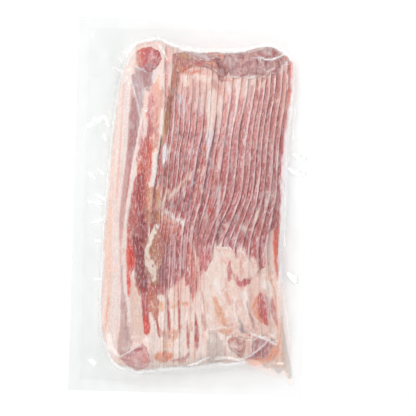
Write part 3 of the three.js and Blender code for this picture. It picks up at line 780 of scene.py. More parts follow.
TOP_SLICE_THICKNESS = 3.6
TOP_SLICE_LEAST = 0.6
TOP_SLICE_RIM = 0.3
TOP_SLICE_COLUMNS = 72
TOP_SLICE_STATIONS = 280
TOP_SLICE_MARKS = (
    # back fat along the left edge, with its salmon streaks
    ("#F3E3DD", 0.7, [(-56, 130, 7), (-62, 100, 8), (-66, 60, 7), (-69, 30, 5), (-71, 0, 3)]),
    ("#F7ECE7", 0.9, [(-58, 134, 8), (-65, 112, 4), (-69, 88, 3), (-72.6, 60, 2.6), (-74.4, 30, 2.4)]),
    ("#F2D6CC", 0.7, [(-64.6, 90, 1.4), (-66, 60, 1.8), (-67, 30, 2), (-68, 4, 1.8)]),
    ("#F1CBB8", 0.65,
        [(-68, 4, 1.4), (-68.4, -25, 2), (-68.4, -55, 2.2), (-67, -75, 1.4), (-68, -88, 0.8)]),
    ("#F0B08F", 0.85, [(-66.8, -80, 0.6), (-68.4, -92, 0.8), (-68.9, -108, 0.5)]),
    ("#E8AE9E", 0.75,
        [(-58.8, 102, 0.5), (-59.6, 75, 0.7), (-60.8, 45, 0.8), (-61.6, 25, 0.9), (-62.8, 6, 0.6)]),
    ("#E9D9D6", 0.9,
        [(-56, 112, 2), (-57, 84, 1.6), (-57.6, 60, 1.5), (-58.6, 35, 1.4), (-60.4, 8, 1.1),
         (-62, -15, 1.3), (-62.4, -50, 2)]),
    ("#E8D8D4", 0.85, [(-62, -60, 2.4), (-62.6, -90, 3.2), (-62.4, -112, 3), (-62, -126, 2.6)]),
    # the grey lean strip
    ("#CE9F96", 0.95, [(-52.4, 102, 0.5), (-51, 93, 2), (-52.6, 84, 1)]),
    ("#C09494", 0.95,
        [(-49.6, 92, 1), (-50, 84, 2.8), (-49.4, 76, 4.6), (-50, 60, 4.2), (-51.4, 46, 3.4),
         (-53, 34, 2.8)]),
    ("#B07E7E", 0.6, [(-49.4, 90, 1.6), (-49.2, 76, 3.2), (-49.8, 60, 3.4), (-51.2, 46, 2.6)]),
    ("#CB9F9C", 0.95,
        [(-53, 34, 2.8), (-54.6, 20, 2.8), (-56, 4, 2.6), (-57.4, -10, 2.2), (-58.2, -30, 1.2)]),
    ("#C4736F", 0.7, [(-52.6, 38, 1), (-51.4, 32, 0.8), (-53, 16, 0.7), (-54.6, 4, 0.6)]),
    ("#DDB0A8", 0.9, [(-57.8, -22, 1.3), (-58, -38, 0.9), (-57.4, -52, 0.7)]),
    ("#C9A8A8", 0.95, [(-57, -52, 0.7), (-56, -64, 1.2), (-55, -76, 1.4), (-54.6, -88, 2.2)]),
    ("#C29E9A", 0.85,
        [(-54.6, -84, 1.8), (-53, -96, 3.4), (-51.4, -108, 5.2), (-51.6, -116, 6.4), (-52.6, -124, 5.6)]),
    ("#AF8484", 0.7, [(-53.6, -76, 0.4), (-52, -88, 0.6), (-50.6, -100, 1)]),
    ("#B08884", 0.6, [(-51, -104, 1.6), (-49.6, -114, 1.6)]),
    ("#C58C8C", 0.7, [(-55, -127, 1.2), (-52, -125, 1)]),
    # the white seam and the broad inner fat
    ("#EADCD9", 0.95,
        [(-43.6, 76, 0.5), (-45.2, 62, 0.8), (-47, 48, 0.8), (-48.8, 32, 0.9), (-49.8, 20, 1)]),
    ("#E4D6D0", 0.95,
        [(-49.8, 20, 1), (-50.8, 8, 1.1), (-52.6, -6, 1.1), (-54.2, -22, 1), (-55, -36, 1.4)]),
    ("#E0C1B8", 0.95,
        [(-54, -38, 1.8), (-51.6, -56, 3.4), (-47.6, -78, 5.4), (-43.6, -98, 6.4), (-41, -112, 5.8)]),
    ("#EBDCD6", 0.85, [(-55.4, -44, 1.2), (-54, -62, 1.6), (-51, -80, 1.3), (-47.6, -98, 1)]),
    ("#E9C0AF", 0.7, [(-44.6, -74, 1.2), (-43, -90, 1.8), (-40, -104, 2)]),
    # the pink, then red muscle beside it
    ("#E5AEA4", 0.95, [(-32, 100, 3.6), (-32.6, 90, 5.6), (-32.6, 78, 6), (-32.4, 64, 4.6)]),
    ("#D2908F", 0.85, [(-35, 92, 2), (-34.4, 84, 3.4), (-34.6, 74, 2.6)]),
    ("#BD7478", 0.7, [(-34.6, 89, 0.6), (-32.6, 88, 0.7)]),
    ("#EBD5CF", 0.85, [(-33, 82.6, 0.9), (-31.8, 80.6, 0.6)]),
    ("#D8714F", 0.9, [(-39.4, 79, 0.6), (-38.4, 76, 1.2)]),
    ("#BE6768", 0.9, [(-36.6, 78, 0.8), (-35.4, 70, 2), (-34.6, 62, 2.2)]),
    ("#DD9A88", 0.85, [(-30.4, 84, 1.4), (-30.4, 70, 1.4), (-30.6, 60, 1)]),
    ("#E0B4A6", 0.8, [(-27.4, 98, 1), (-27.4, 84, 1.2), (-28, 70, 1.2), (-28.8, 58, 1.4)]),
    ("#D3A5A5", 0.9, [(-41.6, 70, 1.2), (-42, 60, 1.8), (-43.6, 52, 1.4)]),
    ("#E5D2D0", 0.9, [(-41, 72, 0.8), (-40.2, 64, 0.8), (-39.8, 56, 0.7)]),
    ("#C3706E", 0.9, [(-41.6, 57, 0.6), (-42, 50, 1.4), (-43.6, 42, 2)]),
    ("#D3999A", 0.9, [(-39, 58, 0.8), (-39.2, 48, 1), (-39.6, 40, 0.7)]),
    ("#AF4A4C", 0.9, [(-37.4, 66, 0.8), (-36.6, 56, 1.3), (-36.4, 48, 1)]),
    ("#CC5A43", 0.9, [(-33.4, 58, 1), (-33.6, 50, 2.2), (-35, 44, 2.2), (-36, 34, 2), (-37, 25, 1.6)]),
    ("#C96450", 0.9, [(-45.4, 38, 1.2), (-42, 34, 3.4), (-41.6, 26, 3.6)]),
    ("#DC9A80", 0.7, [(-44.6, 32, 0.8), (-41.6, 36, 0.8), (-43, 27, 0.7)]),
    ("#B5514C", 0.95, [(-44.4, 24, 3), (-44.6, 12, 4), (-45, 0, 4.4), (-46, -12, 4.4)]),
    ("#C66F68", 0.9, [(-40.4, 24, 2), (-40, 10, 2.4), (-40, -2, 2.4)]),
    ("#CB837C", 0.8, [(-47.6, 20, 0.8), (-48, 6, 0.8), (-50, -6, 0.9)]),
    ("#A23A38", 0.85, [(-43.4, 26, 1), (-44.4, 18, 1.1), (-45, 6, 1), (-45.4, -4, 1.2), (-45.4, -12, 0.9)]),
    ("#BC6E68", 0.95, [(-47.4, 10, 2), (-48.6, -6, 3.4), (-49, -18, 3.8), (-48.6, -30, 3.2)]),
    ("#C4625A", 0.9, [(-38.4, 54, 2.2), (-39, 42, 3.4), (-39.4, 32, 3.4), (-40, 24, 3)]),
    ("#A95C5C", 0.95, [(-41, -8, 3.4), (-42.6, -18, 4.6), (-43, -28, 5)]),
    ("#BC8480", 0.8, [(-36.6, -6, 1.6), (-36.6, -16, 1.8), (-38, -24, 1.2)]),
    ("#843A3C", 1, [(-45, -28, 2.6), (-45, -42, 3)]),
    ("#94494B", 0.8, [(-46, -24, 1.2), (-46.2, -34, 1.4), (-44, -40, 1.6)]),
    ("#C9584C", 0.9, [(-51.4, -18, 0.6), (-51.6, -26, 1), (-51, -34, 1.2)]),
    ("#8E4347", 0.95,
        [(-42, -32, 3), (-42, -44, 3.2), (-41.6, -56, 3.6), (-39.4, -66, 4), (-38.4, -74, 2.6)]),
    ("#8A4248", 0.7, [(-38.6, -54, 1.2), (-37.6, -64, 1.4), (-37.8, -74, 1)]),
    ("#CC7F62", 0.8, [(-45, -60, 0.7), (-43.4, -68, 1), (-40.6, -76, 0.9)]),
    ("#B05550", 0.93, [(-39.6, 33, 1.6), (-38.8, 18, 2.6), (-38.4, 2, 2.8)]),
    ("#8A4044", 0.95,
        [(-38.4, -6, 2.8), (-38, -22, 3.4), (-38, -38, 3.4), (-36.6, -54, 3), (-35.4, -68, 2.6),
         (-35, -77, 1.8)]),
    ("#A4605E", 0.8, [(-36.6, -4, 1), (-36, -20, 1), (-36.8, -34, 1)]),
    ("#9C4A4A", 0.8, [(-41.6, 26, 1.2), (-41.6, 10, 1.6), (-42, -2, 1.8)]),
    ("#CC6452", 0.9, [(-35.2, 46, 2), (-35.4, 34, 2.2), (-35.8, 22, 2.2)]),
    ("#CE9082", 0.9, [(-29.4, 68, 1.4), (-29.4, 57, 2), (-29.6, 48, 1.8)]),
    ("#E7DAD6", 0.97, [(-29.6, 44, 0.8), (-30.2, 39, 1.4), (-30.8, 28, 1.8), (-31.4, 19, 1.4)]),
    # painted shadow in the crevice at the top slice's right edge
    ("#5A3230", 0.9, [(-25.2, 57, 0.7), (-25.8, 48, 1), (-27, 38, 1), (-28, 28, 0.9), (-29.6, 18, 0.6)]),
    ("#B8705E", 0.9, [(-36, 16, 1.6), (-35.8, 2, 2.2), (-36, -12, 2.4)]),
    ("#BC8468", 0.9, [(-31.4, 14, 1.6), (-31.4, 4, 2.2), (-31.8, -8, 2.4), (-33, -18, 1.8)]),
    ("#D18C72", 0.9, [(-34.6, 14, 1.4), (-35.2, 6, 1.6), (-35, -2, 1.2)]),
    ("#DDAE98", 0.8, [(-32.6, 10, 0.8), (-32.8, 0, 0.8)]),
    ("#D24339", 0.97, [(-49.6, -34, 1.8), (-49, -44, 3.8), (-48.4, -52, 3), (-48, -57, 1)]),
    ("#E46953", 0.9, [(-52, -36, 0.7), (-51.8, -46, 1), (-51, -56, 0.8)]),
    ("#DD5546", 0.95, [(-50.8, -58, 1), (-50, -66, 1.9), (-49.6, -74, 1.3), (-49.4, -78, 0.6)]),
    ("#B24C4C", 0.95, [(-37.6, -74, 1.8), (-36.4, -84, 2.2), (-35.2, -94, 2.4)]),
    ("#D04A3E", 0.97, [(-35, -95, 2), (-34, -101, 2.4), (-33.6, -107, 2)]),
    # the upper end, grey lean under loose film and white fat
    ("#BB908E", 0.9, [(-46.6, 112, 2), (-43, 110, 3), (-40, 104, 3.6), (-39.6, 100, 1.6)]),
    ("#C9B1BB", 0.9, [(-50, 108, 1.6), (-47.4, 100, 2.6), (-45, 92, 1.8), (-44.4, 84, 0.8)]),
    ("#AB7A84", 0.8, [(-48, 104, 0.7), (-46, 96, 0.8), (-44, 87, 0.5)]),
    ("#B0797A", 0.9, [(-38, 116, 3), (-37.6, 111, 2.4)]),
    ("#B8989C", 0.85, [(-51, 110, 1.6), (-48.6, 102, 3), (-46.4, 92, 2.8), (-45.4, 80, 2), (-45, 70, 1.4)]),
    ("#BFA0A2", 0.88, [(-47, 114, 3), (-45, 105, 3.4), (-44, 94, 2.6), (-44, 84, 1.6)]),
    ("#B58A8A", 0.92, [(-42, 113, 3), (-40.4, 106, 3.6), (-39.4, 98, 2.8)]),
    ("#B48C8E", 0.85, [(-37, 116, 2.4), (-36, 109, 2.8), (-36.6, 103, 2)]),
    # a painted glint of the film
    ("#E8DCDD", 0.6, [(-42.4, 92, 0.7), (-41, 97, 0.9), (-38, 100.6, 0.6)]),
    ("#E3D8D9", 0.9, [(-29, 123, 1), (-31.4, 115, 2), (-33, 108, 1.6)]),
    ("#E9B79C", 0.7, [(-29.6, 108, 1.4), (-29.4, 100, 1.8), (-27.4, 92, 1)]),
    ("#C69D98", 0.8, [(-23, 127, 1.4), (-23.6, 120, 1.6), (-24.4, 113, 0.8)]),
    ("#E6A49A", 0.6, [(-50, 136.6, 0.6), (-42, 138.6, 0.7), (-33, 136.6, 0.7), (-26, 130.6, 0.7)]),
    ("#D49A8A", 0.8, [(-26, 97, 1.2), (-26, 84, 1.4)]),
    ("#B88C8C", 0.7, [(-46.4, 79, 1.4), (-46, 67, 1.6)]),
)


def top_slice_surface(x, y):
    """Upper face of the top slice, with its layers standing a little proud of their seams."""
    inward = np.minimum(x - left_edge(y), top_slice_edge(y) - x)
    rounding = 1.5 * np.clip(1 - inward / 2.2, 0, 1) ** 2
    layers = 0.35 * mottle((x - left_edge(y)) / 6, y / 60, 31) + 0.2 * mottle(x / 2.5, y / 14, 32)
    return FILM_FLOOR + (across_height(x) - FILM_FLOOR + layers - rounding) * end_share(x, y)


def paint_top_slice(x, y):
    """Tissue of the top slice: peach fat, its strokes, then grain in all that the strokes made lean."""
    inward = x - left_edge(y)
    streak = mottle(inward / 1.4, y / 11, 37)
    fine = mottle(inward / 0.9, y / 3, 38)
    grain = mottle(x / 0.8, y / 1.3, 39)
    loose = blend(0.35, 1, smooth(14, 22, inward))
    warp_x = x + loose * (0.3 * mottle(x / 3, y / 9, 33) + 0.45 * streak + 0.4 * fine + 0.3 * grain)
    warp_y = y + loose * (2 * mottle(x / 2, y / 6, 35) + 2 * fine)
    peach = smooth(-0.5, 1, mottle(inward / 3.5, y / 30, 36) + 0.4 * streak)
    tints = brush(tint(colour("#F0DAD3"), colour("#EDCABF"), peach), warp_x, warp_y, TOP_SLICE_MARKS)
    lean = smooth(-0.62, -0.4, -tints[:, 1] / tints[:, 0])
    pale = smooth(0.3, 1, 0.6 * streak + 0.5 * fine + 0.5 * grain)
    tints = tint(tints, colour("#DDB0AA"), 0.35 * lean * pale)
    deep = smooth(0.3, 1, -0.6 * streak - 0.4 * fine - 0.5 * grain)
    tints = tint(tints, LEAN_DEEP, 0.4 * lean * deep)
    return tints * (1 + 0.04 * streak + 0.03 * fine + 0.05 * grain)[:, None]


top_slice, share, _ = straight_slices(
    "top_slice", 1, TOP_SLICE_COLUMNS, TOP_SLICE_STATIONS, TOP_SLICE_THICKNESS
)
along = share[:, 1] * 2 * HALF_LENGTH
across = blend(left_edge(along), top_slice_edge(along), share[:, 0] + 0.5)
at_y = fit_to_ends(along, across)
upper = top_slice_surface(across, at_y)
resting = slice_top(0, cut_edge(0, at_y) - across, at_y) + SLICE_GAP
lower = np.clip(resting, upper - TOP_SLICE_THICKNESS, upper - TOP_SLICE_LEAST)
lower = np.maximum(lower, np.minimum(FILM_FLOOR, upper - TOP_SLICE_RIM))
set_points(top_slice.data, across, at_y, np.where(share[:, 2] > 0, upper, lower))
set_tints(top_slice.data, "tissue", paint_top_slice(across, at_y))
top_slice.data.shade_smooth()
part_of_pack(top_slice)
meat_pieces.append(top_slice)


# ---- Folded ends and flaps ---------------------------------------------------------------------
# Loose pieces of the same belly that the vacuum has folded over the pile: the rolled red end and the
# cap across the upper ends, the fat and the flap over the lower half, and the folds at the bottom.

BAG_HALF = (100.0, 160.0)
MAP_STEP = 1.0
MAP_COLUMNS = np.arange(-BAG_HALF[0], BAG_HALF[0] + MAP_STEP / 2, MAP_STEP)
MAP_ROWS = np.arange(-BAG_HALF[1], BAG_HALF[1] + MAP_STEP / 2, MAP_STEP)
ABOVE_PACK = 100.0
UPPER_LIFT = 0.12
LOWER_LIFT = 0.06


class Relief:
    """Height of everything laid so far, on an even grid over the bag."""

    def __init__(self, pieces):
        self.z = np.zeros((len(MAP_ROWS), len(MAP_COLUMNS)))
        for piece in pieces:
            self.add(piece)

    def add(self, piece):
        """Raises the grid to the top of a piece, felt for from straight above."""
        tree = BVHTree.FromObject(piece, bpy.context.evaluated_depsgraph_get())
        corners = np.array([v.co for v in piece.data.vertices]) / MM
        low, high = corners.min(0), corners.max(0)
        down = Vector((0, 0, -1))
        for i in np.flatnonzero((MAP_ROWS >= low[1]) & (MAP_ROWS <= high[1])):
            for j in np.flatnonzero((MAP_COLUMNS >= low[0]) & (MAP_COLUMNS <= high[0])):
                start = Vector((MAP_COLUMNS[j] * MM, MAP_ROWS[i] * MM, ABOVE_PACK * MM))
                hit = tree.ray_cast(start, down)[0]
                if hit:
                    self.z[i, j] = max(self.z[i, j], hit.z / MM)

    def read(self, x, y, z=None):
        """The height at any places, or the value there of another grid of the same size."""
        z = self.z if z is None else z
        u = np.clip((x + BAG_HALF[0]) / MAP_STEP, 0, z.shape[1] - 1.001)
        v = np.clip((y + BAG_HALF[1]) / MAP_STEP, 0, z.shape[0] - 1.001)
        j, i = u.astype(int), v.astype(int)
        s, t = u - j, v - i
        return blend(blend(z[i, j], z[i, j + 1], s), blend(z[i + 1, j], z[i + 1, j + 1], s), t)


def soften(z, rounds):
    """Evens out a grid of heights with its neighbours."""
    for _ in range(rounds):
        wide = np.pad(z, 1, mode="edge")
        z = (wide[:-2] + 2 * wide[1:-1] + wide[2:])[:, 1:-1] / 4
        wide = np.pad(z, 1, mode="edge")
        z = (wide[:, :-2] + 2 * wide[:, 1:-1] + wide[:, 2:])[1:-1] / 4
    return z


def closed_outline(corners, count):
    """A smooth closed line through a few corners."""
    corners = np.array(corners, float)
    at = np.linspace(0, len(corners), count, endpoint=False)
    i = at.astype(int)
    t = (at - i)[:, None]
    p = [corners[(i + k) % len(corners)] for k in (-1, 0, 1, 2)]
    return 0.5 * (
        2 * p[1] + (p[2] - p[0]) * t + (2 * p[0] - 5 * p[1] + 4 * p[2] - p[3]) * t**2
        + (3 * p[1] - p[0] - 3 * p[2] + p[3]) * t**3
    )


def two_faced(name, x, y, upper, lower, faces):
    """A smooth mesh of upper points and, after them, lower points straight beneath them."""
    mesh = bpy.data.meshes.new(name)
    mesh.from_pydata(np.zeros((2 * len(x), 3)).tolist(), [], faces)
    set_points(mesh, np.tile(x, 2), np.tile(y, 2), np.concatenate([upper, lower]))
    mesh.shade_smooth()
    return mesh


def drape(
    name, relief, corners, thickness, finish, paint, seed, softness, rings=34, spokes=170, ragged=0.5
):
    """A closed sheet of this thickness lying on the relief, inside an outline, thin at its rim."""
    rim = closed_outline(corners, spokes)
    middle = rim.mean(0)
    step = np.arange(spokes)
    rim = middle + (rim - middle) * (1 + ragged / 10 * mottle(step / 5.0, seed, seed + 50))[:, None]
    reach = (np.linspace(0, 1, rings + 1)[1:] ** 0.8)[:, None, None]
    flat = (middle + (rim - middle) * reach).reshape(-1, 2)
    x, y = np.concatenate([middle[None], flat]).T
    share = np.concatenate([[0], np.repeat(reach[:, 0, 0], spokes)])

    evened = relief.read(x, y, soften(relief.z, softness))
    lying = np.maximum(relief.read(x, y), evened)
    swell = np.sqrt(np.clip(1 - share**4, 0, 1)) * (1 + 0.18 * mottle(x / 5, y / 7, seed + 60))
    crumple = 0.3 * swell * mottle(x / 2.4, y / 3.2, seed + 70)
    upper = np.maximum(blend(lying, evened, 0.6), relief.read(x, y)) + UPPER_LIFT
    upper = upper + np.maximum(thickness * swell + crumple, 0)
    lower = relief.read(x, y) + LOWER_LIFT

    count = len(x)
    faces = []
    for start, turn in ((0, 1), (count, -1)):
        for k in range(spokes):
            after = (k + 1) % spokes
            faces.append((start, start + 1 + k, start + 1 + after)[::turn])
            for ring in range(rings - 1):
                a, b = start + 1 + ring * spokes + k, start + 1 + ring * spokes + after
                faces.append((a, a + spokes, b + spokes, b)[::turn])
    last = 1 + (rings - 1) * spokes
    for k in range(spokes):
        after = (k + 1) % spokes
        faces.append((last + k, count + last + k, count + last + after, last + after))

    mesh = two_faced(name, x, y, upper, lower, faces)
    set_tints(mesh, "tissue", paint(np.tile(x, 2), np.tile(y, 2), np.tile(share, 2)))
    mesh.materials.append(finish)
    piece = add_object(name, mesh)
    part_of_pack(piece)
    return piece


def painter(base, marks, patch=4.0):
    """Paints a loose piece: a mottled base of two tones, then its own strokes."""

    def paint(x, y, share):
        tones = smooth(-0.5, 0.6, mottle(x / patch, y / patch, 90) + 0.5 * mottle(x / 1.3, y / 1.6, 91))
        warp_x = x + 0.8 * mottle(x / 2.5, y / 2.5, 92)
        warp_y = y + 0.8 * mottle(x / 2.5, y / 2.5, 93)
        tints = brush(tint(colour(base[0]), colour(base[1]), tones), warp_x, warp_y, marks)
        return tints * (1 + 0.07 * mottle(x / 0.8, y / 2, 94))[:, None]

    return paint


